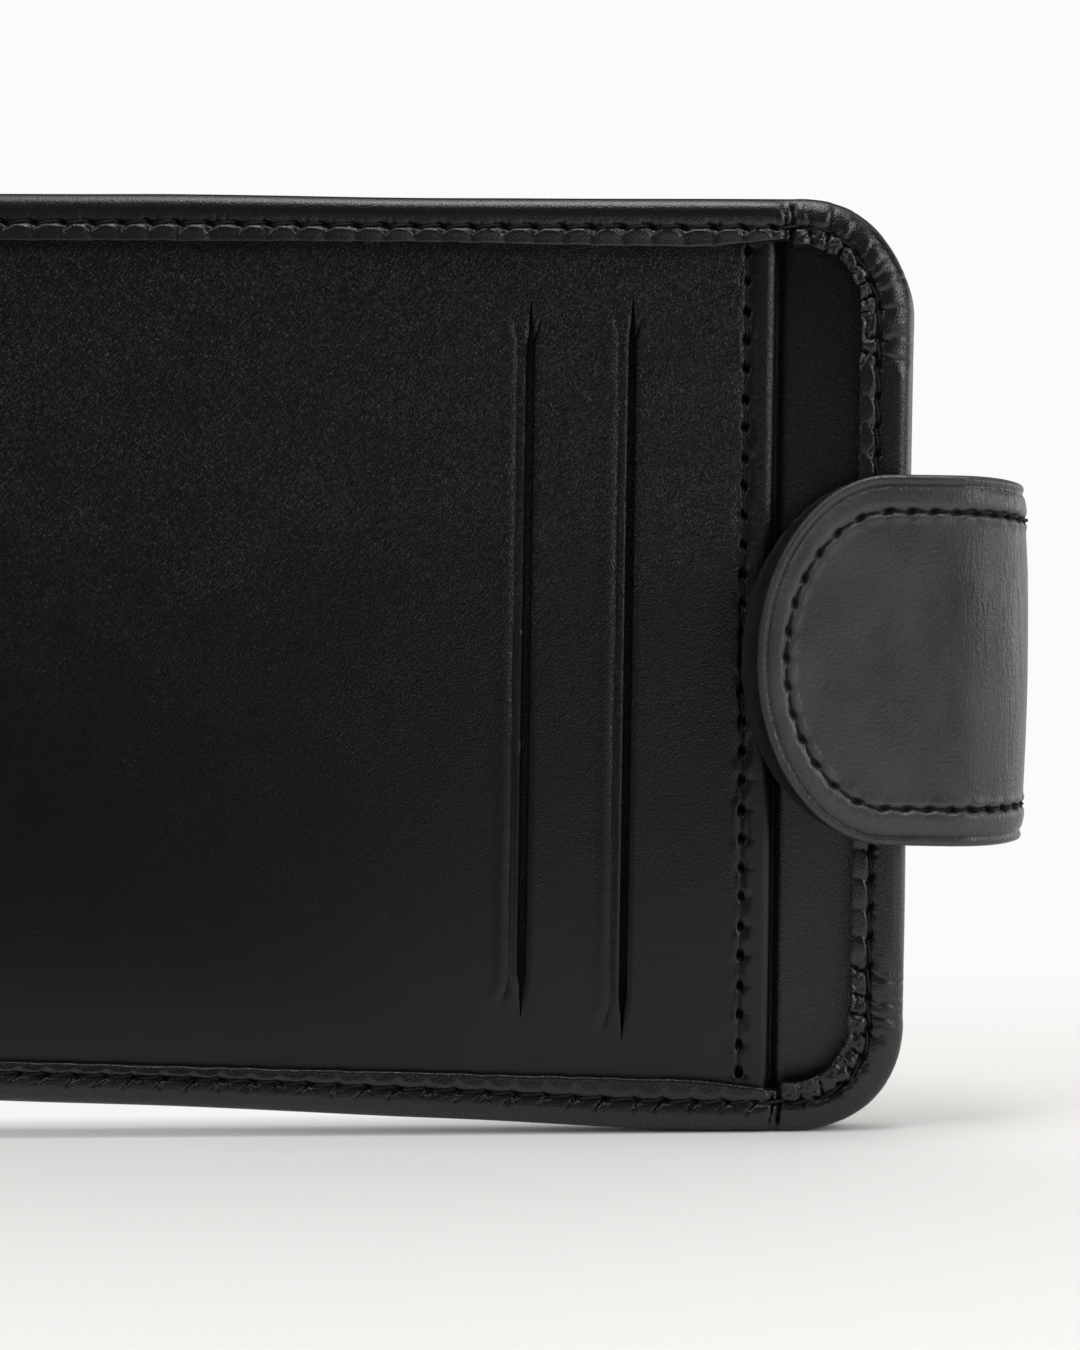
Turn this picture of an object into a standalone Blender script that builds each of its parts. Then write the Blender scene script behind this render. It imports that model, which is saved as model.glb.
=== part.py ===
"""Money clip wallet: a flat leather card case with a magnetic strap that comes round its right end.

It stands on its long bottom edge. X runs along its length, Z up, and its front faces -Y. The origin is
at the centre of the bottom of the whole object's box. The strap's cross-section is a U in the XY plane:
a leg sewn to the back, a half-round bend beyond the right edge, and a leg over the front that ends in a
D-shaped tip. All lengths are in metres.
"""

import math

import bmesh
import bpy

# Body, outside
body_length = 0.1160
body_height = 0.0770
corner_radius = 0.0094
edge_round = 0.0012
edge_round_segments = 3

# Layers of the body, from the back to the front
cover_thickness = 0.0010
board_thickness = 0.0005
base_panel_thickness = 0.0006
lining_thickness = 0.00025
front_panel_thickness = 0.0008
mouth_gap = 0.0007
hem_gap = 0.0002
layer_gap = 0.0002

# The cover's turned edge, as seen from the front
lip_width_long = 0.0038
lip_width_ends = 0.0045
window_corner_radius = 0.0054

# Front panel: its hem and its two card slits, with distances from the body's outside edges
fold_inset = 0.0114
hem_width = 0.0050
slit_width = 0.00055
left_slit_inset = 0.0319
right_slit_inset = 0.0234
left_slit_top_inset = 0.0085
left_slit_bottom_inset = 0.0085
right_slit_top_inset = 0.0081
right_slit_bottom_inset = 0.0067
lining_reach = 0.0050

# Strap
strap_width = 0.0302
strap_outer_thickness = 0.0014
strap_lining_thickness = 0.0012
strap_layer_gap = 0.0001
seat_gap = 0.0002
note_gap = 0.0005
bend_lead = 0.0034
tip_reach = 0.0126
tip_end_length = 0.0107
base_reach = 0.0340
base_end_length = 0.0130
lining_margin_end = 0.0013
lining_margin_side = 0.0003

# Bend of the strap: hinges, and the room between its pieces
hinge_count = 4
hinge_room = 0.0002
strap_opening = math.pi

# Magnet in the strap's tip, and the keeper plate in the body
magnet_width = 0.0060
magnet_length = 0.0160
magnet_thickness = 0.0010
magnet_corner_radius = 0.0010
magnet_inset = 0.0054
magnet_room = 0.0001
keeper_room = 0.0003

# Threads
thread_radius = 0.00025
thread_room = 0.0001
edge_stitch_inset_long = 0.0025
edge_stitch_inset_ends = 0.0029
hem_stitch_inset = 0.00225
hem_thread_end_gap = 0.0006
strap_stitch_inset_side = 0.0030
strap_stitch_inset_end = 0.0024

# Shared by the shapes and the cuts
cut_overrun = 0.0020
quarter_steps = 8
end_steps = 20
weld_distance = 0.000001
flat_angle = math.radians(0.1)
crease_angle = math.radians(35)

# Places that follow from these
strap_thickness = strap_outer_thickness + strap_layer_gap + strap_lining_thickness
pocket_depth = hem_gap + front_panel_thickness + mouth_gap
body_thickness = (
    cover_thickness
    + layer_gap
    + board_thickness
    + layer_gap
    + base_panel_thickness
    + pocket_depth
    + front_panel_thickness
    + layer_gap
    + cover_thickness
)
bend_radius = (2 * strap_thickness + seat_gap + body_thickness + note_gap) / 2
hinge_radius = bend_radius - strap_outer_thickness - strap_layer_gap / 2
total_length = body_length + bend_lead + bend_radius
body_left = -total_length / 2
body_right = body_left + body_length
bend_x = body_right + bend_lead
body_back = bend_radius - strap_thickness - seat_gap
body_front = body_back - body_thickness
middle_z = body_height / 2
hinge_step = math.pi / hinge_count
hinge_turn = strap_opening / hinge_count


# Collections, materials and the steps that all shapes share

def new_collection(name):
    collection = bpy.data.collections.new(name)
    bpy.context.scene.collection.children.link(collection)
    return collection


def material(name, colour, roughness, metallic=0.0):
    """A plain surface: a linear RGB colour, a roughness and a metallic value."""
    made = bpy.data.materials.new(name)
    made.use_nodes = True
    shader = made.node_tree.nodes["Principled BSDF"]
    shader.inputs["Base Color"].default_value = (*colour, 1.0)
    shader.inputs["Roughness"].default_value = roughness
    shader.inputs["Metallic"].default_value = metallic
    return made


def new_curve(name, dimensions, splines, cyclic=True):
    """A curve object of straight-run splines. The points are 3D, or 2D for a flat outline."""
    data = bpy.data.curves.new(name, "CURVE")
    data.dimensions = dimensions
    for points in splines:
        spline = data.splines.new("POLY")
        spline.points.add(len(points) - 1)
        for place, point in zip(spline.points, points):
            place.co = (*point, *(0.0,) * (3 - len(point)), 1.0)
        spline.use_cyclic_u = cyclic
    return bpy.data.objects.new(name, data)


def plate(name, outlines, depth, thickness):
    """A flat piece across Y: outlines of (x, z) points, the second and later ones being holes."""
    made = new_curve(name, "2D", outlines)
    made.data.fill_mode = "BOTH"
    made.data.extrude = thickness / 2
    made.rotation_euler = (math.pi / 2, 0, 0)
    made.location = (0, depth, 0)
    return made


def upright(name, outline, low, high):
    """A piece of one section all the way up: an outline of (x, y) points, from one height to another."""
    made = new_curve(name, "2D", [outline])
    made.data.fill_mode = "BOTH"
    made.data.extrude = (high - low) / 2
    made.location = (0, 0, (low + high) / 2)
    return made


def cord_tube(name, path, radius, closed=False):
    """A round thread along a path of (x, y, z) points."""
    made = new_curve(name, "3D", [path], cyclic=closed)
    made.data.bevel_depth = radius
    made.data.bevel_resolution = 2
    made.data.use_fill_caps = not closed
    return made


def as_mesh(curve_object):
    """The same shape in the curve's place, as a welded mesh with whole flat faces."""
    bpy.context.scene.collection.objects.link(curve_object)
    bpy.context.view_layer.update()
    graph = bpy.context.evaluated_depsgraph_get()
    mesh = bpy.data.meshes.new_from_object(curve_object.evaluated_get(graph))
    name = curve_object.name
    matrix = curve_object.matrix_world.copy()
    bpy.data.objects.remove(curve_object)
    work = bmesh.new()
    work.from_mesh(mesh)
    bmesh.ops.remove_doubles(work, verts=work.verts, dist=weld_distance)
    bmesh.ops.dissolve_limit(work, angle_limit=flat_angle, verts=work.verts, edges=work.edges)
    bmesh.ops.recalc_face_normals(work, faces=work.faces)
    work.to_mesh(mesh)
    work.free()
    mesh.name = name
    made = bpy.data.objects.new(name, mesh)
    made.matrix_world = matrix
    return made


def cutter(shape):
    """Puts a mesh among the cutters, where it isn't rendered."""
    cutters.objects.link(shape)
    shape.hide_render = True
    shape.display_type = "WIRE"
    return shape


def boolean(target, operation, other):
    step = target.modifiers.new(operation.lower(), "BOOLEAN")
    step.operation = operation
    step.solver = "EXACT"
    step.object = other


def add_part(made, finish):
    """Puts a finished shape among the parts, with its material."""
    made.data.materials.clear()
    made.data.materials.append(finish)
    parts.objects.link(made)
    if made.type == "MESH":
        made.data.shade_smooth()
        made.data.set_sharp_from_angle(angle=crease_angle)
    return made


# Outlines, as (x, z) points

def rounded_outline(left, right, low, high, left_radius, right_radius=None):
    """A rectangle with round corners, anticlockwise from the bottom right.

    Its right side may have its own radius.
    """
    right_radius = left_radius if right_radius is None else right_radius
    corners = (
        (right - right_radius, low + right_radius, right_radius, -90),
        (right - right_radius, high - right_radius, right_radius, 0),
        (left + left_radius, high - left_radius, left_radius, 90),
        (left + left_radius, low + left_radius, left_radius, 180),
    )
    points = []
    for x, z, radius, first in corners:
        steps = quarter_steps if radius > 0 else 0
        for i in range(steps + 1):
            angle = math.radians(first + 90 * i / max(steps, 1))
            points.append((x + radius * math.cos(angle), z + radius * math.sin(angle)))
    return points


def body_outline(inset_long, inset_ends, radius):
    """The body's outline drawn in from its edges."""
    return rounded_outline(
        body_left + inset_ends, body_right - inset_ends, inset_long, body_height - inset_long, radius
    )


def layer_outline(right=None):
    """The outline of a layer inside the cover. One that stops short of the right side is square there."""
    inset = cover_thickness + layer_gap
    radius = corner_radius - inset
    if right is None:
        return body_outline(inset, inset, radius)
    return rounded_outline(body_left + inset, right, inset, body_height - inset, radius, 0)


def half_ellipse(straight_x, length, half_width):
    """Points round a strap's end that points to -X, from its top to its bottom."""
    points = []
    for i in range(end_steps + 1):
        angle = math.pi / 2 + math.pi * i / end_steps
        points.append((straight_x + length * math.cos(angle), middle_z + half_width * math.sin(angle)))
    return points


def strap_end_outline(end_x, end_length, half_width):
    """A strap leg from its round end to past the outside of the bend."""
    far_x = bend_x + bend_radius + cut_overrun
    round_end = half_ellipse(end_x + end_length, end_length, half_width)
    return [(far_x, middle_z + half_width), *round_end, (far_x, middle_z - half_width)]


def magnet_outline(room):
    """The magnet's place, with this much room all round."""
    centre = body_right - magnet_inset
    half_width = magnet_width / 2 + room
    half_length = magnet_length / 2 + room
    return rounded_outline(
        centre - half_width,
        centre + half_width,
        middle_z - half_length,
        middle_z + half_length,
        magnet_corner_radius + room,
    )


# The cover and the layers in it

def depth_of_layers():
    """The middle depth of each flat layer, from the back to the front, by name."""
    depths = {}
    back = body_back - cover_thickness
    for name, thickness in (("board", board_thickness), ("base_panel", base_panel_thickness)):
        back -= layer_gap
        depths[name] = back - thickness / 2
        back -= thickness
    pocket_gap = (pocket_depth - 2 * lining_thickness) / 3
    for name in ("right_lining", "left_lining"):
        back -= pocket_gap
        depths[name] = back - lining_thickness / 2
        back -= lining_thickness
    return depths


def back_cover():
    """The back and its edge, turned over to the front all round as one shell that is open at the front."""
    made = as_mesh(
        plate(
            "back_cover",
            [body_outline(0, 0, corner_radius)],
            (body_back + body_front) / 2,
            body_thickness,
        )
    )
    rounding = made.modifiers.new("rounded edge", "BEVEL")
    rounding.width = min(edge_round, cover_thickness + layer_gap)
    rounding.segments = edge_round_segments
    rounding.limit_method = "ANGLE"
    hollow_depth = body_thickness - 2 * cover_thickness
    hollow = plate(
        "cover_hollow_cut",
        [body_outline(cover_thickness, cover_thickness, corner_radius - cover_thickness)],
        (body_back + body_front) / 2,
        hollow_depth,
    )
    boolean(made, "DIFFERENCE", cutter(as_mesh(hollow)))
    window = plate(
        "cover_window_cut",
        [body_outline(lip_width_long, lip_width_ends, window_corner_radius)],
        body_front,
        2 * (cover_thickness + layer_gap),
    )
    boolean(made, "DIFFERENCE", cutter(as_mesh(window)))
    groove = cord_tube("edge_groove_cut", edge_thread_path(), thread_radius + thread_room, closed=True)
    boolean(made, "DIFFERENCE", cutter(as_mesh(groove)))
    return add_part(made, cover_leather)


def stiffener_board(depth):
    """The board has a hole for the keeper plate."""
    made = plate("stiffener_board", [layer_outline(), magnet_outline(keeper_room)], depth, board_thickness)
    return add_part(made, board)


def keeper_plate(depth):
    made = plate("keeper_plate", [magnet_outline(0)], depth, board_thickness)
    return add_part(made, steel)


def base_panel(depth):
    made = plate("base_panel", [layer_outline()], depth, base_panel_thickness)
    return add_part(made, panel_leather)


def pocket_lining(name, slit_inset, depth):
    """A thin lining behind a slit, from the left end to a little past the slit."""
    right = body_right - slit_inset + lining_reach
    made = plate(name, [layer_outline(right)], depth, lining_thickness)
    return add_part(made, lining_fabric)


def folded_section():
    """The front panel's section, as (x, y) points: a sheet whose right edge is folded back under it."""
    front = body_front + cover_thickness + layer_gap
    outer = front_panel_thickness + hem_gap / 2
    inner = hem_gap / 2
    fold_x = body_right - fold_inset - outer
    hem_x = body_right - fold_inset - hem_width
    left = body_left - cut_overrun

    def bend(radius, steps):
        turns = [math.pi * i / quarter_steps for i in steps]
        return [(fold_x + radius * math.sin(t), front + outer - radius * math.cos(t)) for t in turns]

    outside = bend(outer, range(quarter_steps + 1))
    inside = bend(inner, range(quarter_steps, -1, -1))
    hem = [(hem_x, front + 2 * outer), (hem_x, front + outer + inner)]
    return [(left, front), *outside, *hem, *inside, (left, front + front_panel_thickness)]


def slit(name, inset, bottom_inset, top_inset):
    """The cut of one card slit, through the sheet but not through what lies behind it."""
    left = body_right - inset - slit_width / 2
    outline = rounded_outline(
        left, left + slit_width, bottom_inset, body_height - top_inset, slit_width / 2
    )
    front = body_front + cover_thickness + layer_gap
    reach = front_panel_thickness + hem_gap / 2
    return cutter(as_mesh(plate(name, [outline], front, 2 * reach)))


def front_panel():
    made = as_mesh(upright("front_panel", folded_section(), 0, body_height))
    outline = plate(
        "panel_outline_cut",
        [layer_outline(body_right)],
        (body_back + body_front) / 2,
        body_thickness,
    )
    boolean(made, "INTERSECT", cutter(as_mesh(outline)))
    left_slit = slit("left_slit_cut", left_slit_inset, left_slit_bottom_inset, left_slit_top_inset)
    right_slit = slit("right_slit_cut", right_slit_inset, right_slit_bottom_inset, right_slit_top_inset)
    boolean(made, "DIFFERENCE", left_slit)
    boolean(made, "DIFFERENCE", right_slit)
    groove = cord_tube("hem_groove_cut", hem_thread_path(thread_room), thread_radius + thread_room)
    boolean(made, "DIFFERENCE", cutter(as_mesh(groove)))
    return add_part(made, panel_leather)


# Threads, each lying half sunk in a groove

def edge_thread_path():
    """Round the turned edge, on its front face."""
    radius = corner_radius - max(edge_stitch_inset_long, edge_stitch_inset_ends)
    outline = body_outline(edge_stitch_inset_long, edge_stitch_inset_ends, radius)
    return [(x, body_front, z) for x, z in outline]


def hem_thread_path(room=0.0):
    """Up the front panel beside its fold, between the turned edges."""
    x = body_right - fold_inset - hem_stitch_inset
    depth = body_front + cover_thickness + layer_gap
    low = lip_width_long + hem_thread_end_gap - room
    return [(x, depth, low), (x, depth, body_height - low)]


def strap_thread_path(side, end_x, end_length, room=0.0):
    """Along both edges of a strap leg and round its end, on the face at this side: -1 front, 1 back."""
    half_width = strap_width / 2 - strap_stitch_inset_side
    round_end = half_ellipse(end_x + end_length, end_length - strap_stitch_inset_end, half_width)
    start = bend_x + room
    outline = [(start, middle_z + half_width), *round_end, (start, middle_z - half_width)]
    return [(x, side * bend_radius, z) for x, z in outline]


def thread(name, path, closed=False):
    return add_part(cord_tube(name, path, thread_radius, closed), black_thread)


# The strap: two leathers round a bend, split at its hinges

def bend_point(radius, angle):
    """A point round the bend, with angles counted from the back leg to the front leg."""
    return (bend_x + radius * math.sin(angle), radius * math.cos(angle))


def arc(radius, first, last):
    steps = max(2, math.ceil(abs(last - first) / hinge_step * quarter_steps))
    return [bend_point(radius, first + (last - first) * i / steps) for i in range(steps + 1)]


def face_angles(inner, outer, flare):
    """How far round the bend a piece's end face stands off its hinge, at its inner and at its outer radius.

    The face leans away from the hinge by the flare, so that two such faces meet when the strap is open.
    """
    at_inner = hinge_room / 2 / inner
    at_outer = hinge_room / 2 / outer
    if flare > 0:
        at_outer = at_inner + flare - math.asin(inner * math.sin(flare) / outer)
    return at_inner, at_outer


def strap_section(inner, outer, flare, first_hinge, last_hinge):
    """A strap piece's section from one hinge to another. None stands for the far end of a leg."""
    at_inner, at_outer = face_angles(inner, outer, flare)
    far_x = min(body_left, body_right - base_reach) - cut_overrun
    start_inner = start_outer = 0.0
    end_inner = end_outer = math.pi
    if first_hinge is not None:
        start_inner = first_hinge + at_inner
        start_outer = first_hinge + at_outer
    if last_hinge is not None:
        end_inner = last_hinge - at_inner
        end_outer = last_hinge - at_outer
    outside = arc(outer, start_outer, end_outer)
    inside = arc(inner, end_inner, start_inner)
    if first_hinge is None:
        outside.insert(0, (far_x, outer))
        inside.append((far_x, inner))
    if last_hinge is None:
        outside.append((far_x, -outer))
        inside.insert(0, (far_x, -inner))
    return outside + inside


def strap_layers():
    """For each of the strap's leathers: name, radii, flare, half width and the outlines of its two ends."""
    half_width = strap_width / 2
    tip_x = body_right - tip_reach
    base_x = body_right - base_reach
    outer_radii = (bend_radius - strap_outer_thickness, bend_radius)
    lining_radii = (bend_radius - strap_thickness, bend_radius - strap_outer_thickness - strap_layer_gap)
    margin = lining_margin_end
    wide = half_width + lining_margin_side
    return (
        (
            "strap_outer",
            *outer_radii,
            hinge_turn / 2,
            half_width,
            strap_end_outline(tip_x, tip_end_length, half_width),
            strap_end_outline(base_x, base_end_length, half_width),
        ),
        (
            "strap_lining",
            *lining_radii,
            0.0,
            wide,
            strap_end_outline(tip_x - margin, tip_end_length + margin, wide),
            strap_end_outline(base_x - margin, base_end_length + margin, wide),
        ),
    )


def strap_pieces(layer, groove_cutters, magnet_cut):
    """One leather of the strap, as pairs of a piece and the hinge that carries it. Hinge 0 is the body."""
    name, inner, outer, flare, half_width, tip_outline, base_outline = layer
    low = middle_z - half_width
    high = middle_z + half_width
    finish = strap_leather if name == "strap_outer" else strap_back_leather
    pieces = []
    for number in range(hinge_count + 1):
        first = hinge_angle(number) if number > 0 else None
        last = hinge_angle(number + 1) if number < hinge_count else None
        section = strap_section(inner, outer, flare, first, last)
        end = {0: "base", hinge_count: "tip"}.get(number)
        if end is None:
            made = as_mesh(upright(f"{name}_bend_{number}", section, low, high))
        else:
            made = as_mesh(upright(f"{name}_{end}", section, low - cut_overrun, high + cut_overrun))
            outline = base_outline if end == "base" else tip_outline
            side = 1 if end == "base" else -1
            depth = bend_radius + cut_overrun
            trim = plate(f"{name}_{end}_outline_cut", [outline], side * depth / 2, depth)
            boolean(made, "INTERSECT", cutter(as_mesh(trim)))
            if end == "tip":
                boolean(made, "DIFFERENCE", magnet_cut)
            if name == "strap_outer":
                boolean(made, "DIFFERENCE", groove_cutters[end])
        pieces.append((add_part(made, finish), number))
    return pieces


def hinge_angle(number):
    """Where hinge 1, 2 and so on stands round the bend."""
    return hinge_step * (number - 0.5)


def strap_threads():
    """The strap's stitching at its base and at its tip, and the cuts of their grooves."""
    ends = {
        "base": (1, body_right - base_reach, base_end_length),
        "tip": (-1, body_right - tip_reach, tip_end_length),
    }
    threads = {}
    cuts = {}
    for end, place in ends.items():
        threads[end] = thread(f"strap_{end}_stitching", strap_thread_path(*place))
        path = strap_thread_path(*place, room=thread_room)
        cuts[end] = cutter(as_mesh(cord_tube(f"strap_{end}_groove_cut", path, thread_radius + thread_room)))
    return threads, cuts


def strap_magnet():
    """The magnet between the strap's two leathers, and the cut of its bed in both."""
    magnet = add_part(plate("strap_magnet", [magnet_outline(0)], -hinge_radius, magnet_thickness), steel)
    bed_depth = magnet_thickness + 2 * magnet_room
    bed = plate("magnet_bed_cut", [magnet_outline(magnet_room)], -hinge_radius, bed_depth)
    return magnet, cutter(as_mesh(bed))


def hinge_empties():
    """One empty on each hinge's axis, each carried by the one before it."""
    made = []
    for number in range(1, hinge_count + 1):
        empty = bpy.data.objects.new(f"strap_hinge_{number}", None)
        parts.objects.link(empty)
        place = (*bend_point(hinge_radius, hinge_angle(number)), middle_z)
        if made:
            empty.parent = made[-1]
            before = (*bend_point(hinge_radius, hinge_angle(number - 1)), middle_z)
            place = tuple(here - there for here, there in zip(place, before))
        empty.location = place
        made.append(empty)
    return made


def carry(piece, empty):
    """Parents a piece to a hinge, where it already stands."""
    bpy.context.view_layer.update()
    piece.parent = empty
    piece.matrix_parent_inverse = empty.matrix_world.inverted()


def build_body():
    depths = depth_of_layers()
    back_cover()
    stiffener_board(depths["board"])
    keeper_plate(depths["board"])
    base_panel(depths["base_panel"])
    pocket_lining("left_pocket_lining", left_slit_inset, depths["left_lining"])
    pocket_lining("right_pocket_lining", right_slit_inset, depths["right_lining"])
    front_panel()
    thread("edge_stitching", edge_thread_path(), closed=True)
    thread("hem_stitching", hem_thread_path())


def build_strap():
    threads, groove_cutters = strap_threads()
    magnet, magnet_cut = strap_magnet()
    hinges = hinge_empties()
    carried = [(threads["tip"], hinge_count), (magnet, hinge_count)]
    for layer in strap_layers():
        carried += strap_pieces(layer, groove_cutters, magnet_cut)
    for piece, number in carried:
        if number > 0:
            carry(piece, hinges[number - 1])


for old in list(bpy.data.objects):
    bpy.data.objects.remove(old)

parts = new_collection("money_clip_wallet")
cutters = new_collection("cutters")

cover_leather = material("cover_leather", (0.012, 0.012, 0.012), 0.55)
panel_leather = material("panel_leather", (0.012, 0.012, 0.012), 0.55)
strap_leather = material("strap_leather", (0.035, 0.035, 0.035), 0.42)
strap_back_leather = material("strap_back_leather", (0.020, 0.020, 0.020), 0.55)
lining_fabric = material("lining_fabric", (0.008, 0.008, 0.008), 0.85)
board = material("board", (0.10, 0.09, 0.08), 0.80)
black_thread = material("black_thread", (0.006, 0.006, 0.006), 0.60)
steel = material("steel", (0.55, 0.55, 0.55), 0.35, 1.0)

build_body()
build_strap()
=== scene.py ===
"""Looks of the money clip wallet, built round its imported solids.

Lengths are in metres, in the frame of the solids: X along the wallet, Z up, the card slits facing -Y.
Every leather is a solid sheet whose outer face carries its folds, creases and stitch holes as real relief.
"""

import math

import bmesh
import bpy
import numpy as np
from mathutils import Matrix, Vector


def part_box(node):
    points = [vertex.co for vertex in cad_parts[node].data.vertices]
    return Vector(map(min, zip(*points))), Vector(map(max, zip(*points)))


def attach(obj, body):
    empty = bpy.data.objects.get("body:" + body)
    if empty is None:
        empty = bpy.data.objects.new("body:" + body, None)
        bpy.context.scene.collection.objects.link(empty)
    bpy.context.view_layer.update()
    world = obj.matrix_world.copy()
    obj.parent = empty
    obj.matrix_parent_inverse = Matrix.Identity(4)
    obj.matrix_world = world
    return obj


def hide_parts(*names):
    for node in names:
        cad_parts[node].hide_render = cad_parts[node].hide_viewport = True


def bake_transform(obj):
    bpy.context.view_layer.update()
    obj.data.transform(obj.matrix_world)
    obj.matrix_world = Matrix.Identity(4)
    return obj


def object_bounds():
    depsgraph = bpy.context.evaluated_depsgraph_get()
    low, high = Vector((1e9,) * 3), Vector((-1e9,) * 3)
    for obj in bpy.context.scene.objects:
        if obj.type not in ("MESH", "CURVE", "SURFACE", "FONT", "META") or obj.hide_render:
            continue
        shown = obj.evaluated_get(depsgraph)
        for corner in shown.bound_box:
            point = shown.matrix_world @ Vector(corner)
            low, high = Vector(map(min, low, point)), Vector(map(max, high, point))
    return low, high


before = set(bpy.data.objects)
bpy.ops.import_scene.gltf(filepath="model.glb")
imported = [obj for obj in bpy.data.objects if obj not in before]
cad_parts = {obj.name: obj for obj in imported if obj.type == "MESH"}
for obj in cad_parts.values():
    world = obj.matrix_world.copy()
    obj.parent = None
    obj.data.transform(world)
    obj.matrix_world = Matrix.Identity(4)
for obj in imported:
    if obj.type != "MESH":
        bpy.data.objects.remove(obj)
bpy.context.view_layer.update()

# The camera, with its focal length and the photograph's height in pixels
image_height = 1350
camera_focal_pixels = 3083
camera_place = Vector((0.04415, -0.25828, 0.0390))
camera_yaw = math.radians(-4.82)
camera_pitch = math.radians(0.40)
camera_roll = math.radians(0.87)
sensor_size = 36.0
nearest_seen = 0.01
farthest_seen = 20.0

# Places read from the solids
cover_low, cover_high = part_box("back_cover")
panel_low, panel_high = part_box("front_panel")
hem_thread_low, hem_thread_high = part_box("hem_stitching")
strap_tip_low, strap_tip_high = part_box("strap_outer_tip")
strap_base_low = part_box("strap_outer_base")[0]
lining_tip_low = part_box("strap_lining_tip")[0]
whole_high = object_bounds()[1]

# A pair named rise or fall holds where a change starts and where it ends. Three numbers for a mound, a
# valley, a swell or a pull are its height or depth, its place and its reach. Four numbers for ripples are
# their height, their size along each of two ways, and their seed. Those along one line have a single size,
# and those of the slits leave the seed out, because each slit has its own. A hole's form is its length, width
# and slant. Steps are the finest one, the coarsest one and their growth away from the fine places.

# Body. A corner bulge is the angle where the outline bulges, in degrees, and its height
body_left = cover_low.x
body_right = cover_high.x
body_front = cover_low.y
body_thickness = cover_high.y - cover_low.y
body_height = cover_high.z
corner_radius = 0.0094
corner_bulges = ((-45, 0.00030), (28, -0.00045), (135, -0.00020), (225, -0.00020))
corner_bulge_reach = math.radians(28)
bottom_sag = (0.00045, 0.034, 0.014)
bottom_lift = 0.00037
top_rise = 0.00026
lift_rise = (body_left, -0.045)
lift_fall = (-0.012, 0.016)
top_lip_widening = (0.00035, 0.034, 0.014)
cover_thickness = 0.0010
panel_clearance = 0.00003
hidden_corner_radius = 0.0088

# The turned edge: its roll, its stitch line and the hollow along that line
roll_radius = 0.0014
corner_roll_reach = 0.0023
lip_width_long = 0.0038
lip_width_ends = 0.0045
lip_edge_round = 0.00008
lip_edge_sink = 0.00014
lip_scallops = (0.00018, 0.0011, 23)
lip_scallop_rise = (0.0, 0.0006)
stitch_inset_long = 0.0025
stitch_inset_ends = 0.0029
stitch_pitch = 0.00249
stitch_jitter = 0.00012
stitch_valley = (0.00012, 0.0, 0.00026)
stitch_line_sink = 0.00008
hole_depth = 0.00040
hole_form = (0.00046, 0.00015, math.radians(27))
hole_wander = 0.00010
pillow_height = 0.00024
pillow_start = 0.00010
pillow_rise = 0.00018
pillow_drop = 0.00055
crack_depth = 0.00022
crack_width = 0.00007
crack_reach = 0.0014
crack_slope = 0.9
crack_offsets = (-0.00030, 0.00045)
crack_fall = (0.0, 0.0002)
pull_crease_depth = 0.00010
pull_crease_width = 0.00011
pull_crease_rise = (-0.0008, -0.0002)
pull_crease_fall = (-0.0002, 0.0002)
edge_ripples = (0.00003, 0.009, 0.009, 21)
back_depth_share = 0.6
back_offsets = (0.0012, 0.0007, 0.0004, 0.0002, 0.0, -0.0002, -0.0004, -0.0007)

# The pleats round the corners
pleat_pitch = 0.00172
pleat_depth = 0.00036
pleat_width = 0.00010
pleat_bow = 0.0006
pleat_side_rise = (-0.0003, 0.0003)
pleat_outline_rise = (-0.0006, 0.0010)
pleat_outer_depth = 0.00011
pleat_outer_reach = (-0.0008, 0.0006)
pleat_outer_fade = 0.0006
pleat_short_reach = (0.0003, 0.0018)
pleat_short_fade = 0.0005
pleat_push = (0.00004, 0.00030, 0.00022)
pleat_pillow_height = 0.00017
pleat_reach_long = 0.0009
pleat_reach_ends = 0.0036
pleat_fade = 0.0020
crumple_height = 0.00026
crumple_coarse = (1.0, 0.0009, 0.00117, 14)
crumple_fine = (0.5, 0.00045, 0.00054, 15)
crumple_rise = (0.0002, 0.0012)
ray_ripples = (0.00005, 0.00045, 0.0022, 15)
seam_depth = 0.00042
seam_width = 0.00011
seam_gap = 0.00062
seam_ripples = (0.00010, 0.0009, 17)
seam_rise = (0.0002, 0.0008)
seam_step = 0.00012
seam_step_reach = 0.0030
seam_strengths = (1.0, 0.7, 0.7, 1.0)
seam_narrowing = 0.00050
seam_narrowing_reach = 0.0080

# Front panel. A slit is its distance from the right end, its lower end and its upper end
panel_thickness = 0.0008
panel_ripples = (0.00006, 0.018, 0.018, 61)
panel_ripple_fade = 0.004
panel_steps = (0.00007, 0.0012, 0.11)
slits_from_right = ((0.0319, 0.0085, 0.0685), (0.0234, 0.0067, 0.0689))
slit_half_width = 0.00027
slit_taper = 0.0042
slit_closed_end = 0.0005
slit_ripple_size = 0.0061
slit_lip_height = 0.00020
slit_lip_fall = (0.00030, 0.00098)
slit_lip_round = 0.00022
slit_far_sink = 0.00012
slit_far_reach = 0.0006
slit_far_round = 0.00012
crease_offset = 0.00108
crease_offset_top = 0.00165
crease_ripples = (0.00006, 0.0037)
crease_depth = 0.00010
crease_width = 0.00018
crease_swell = (0.00007, -0.00060, 0.00054)
crease_ends = (0.00075, 0.0025)
slit_wrinkles = (0.000014, 0.00042, 0.0010)
wrinkles_near = (1.0, -0.0006, 0.0007)
wrinkles_far = (0.7, 0.0010, 0.0010)
wrinkles_far_rise = (0.045, 0.060)
tongue_start = 0.0016
tongue_end = 0.0037
tongue_offset = 0.00050
tongue_depth = 0.00020
tongue_width = 0.00009

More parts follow.
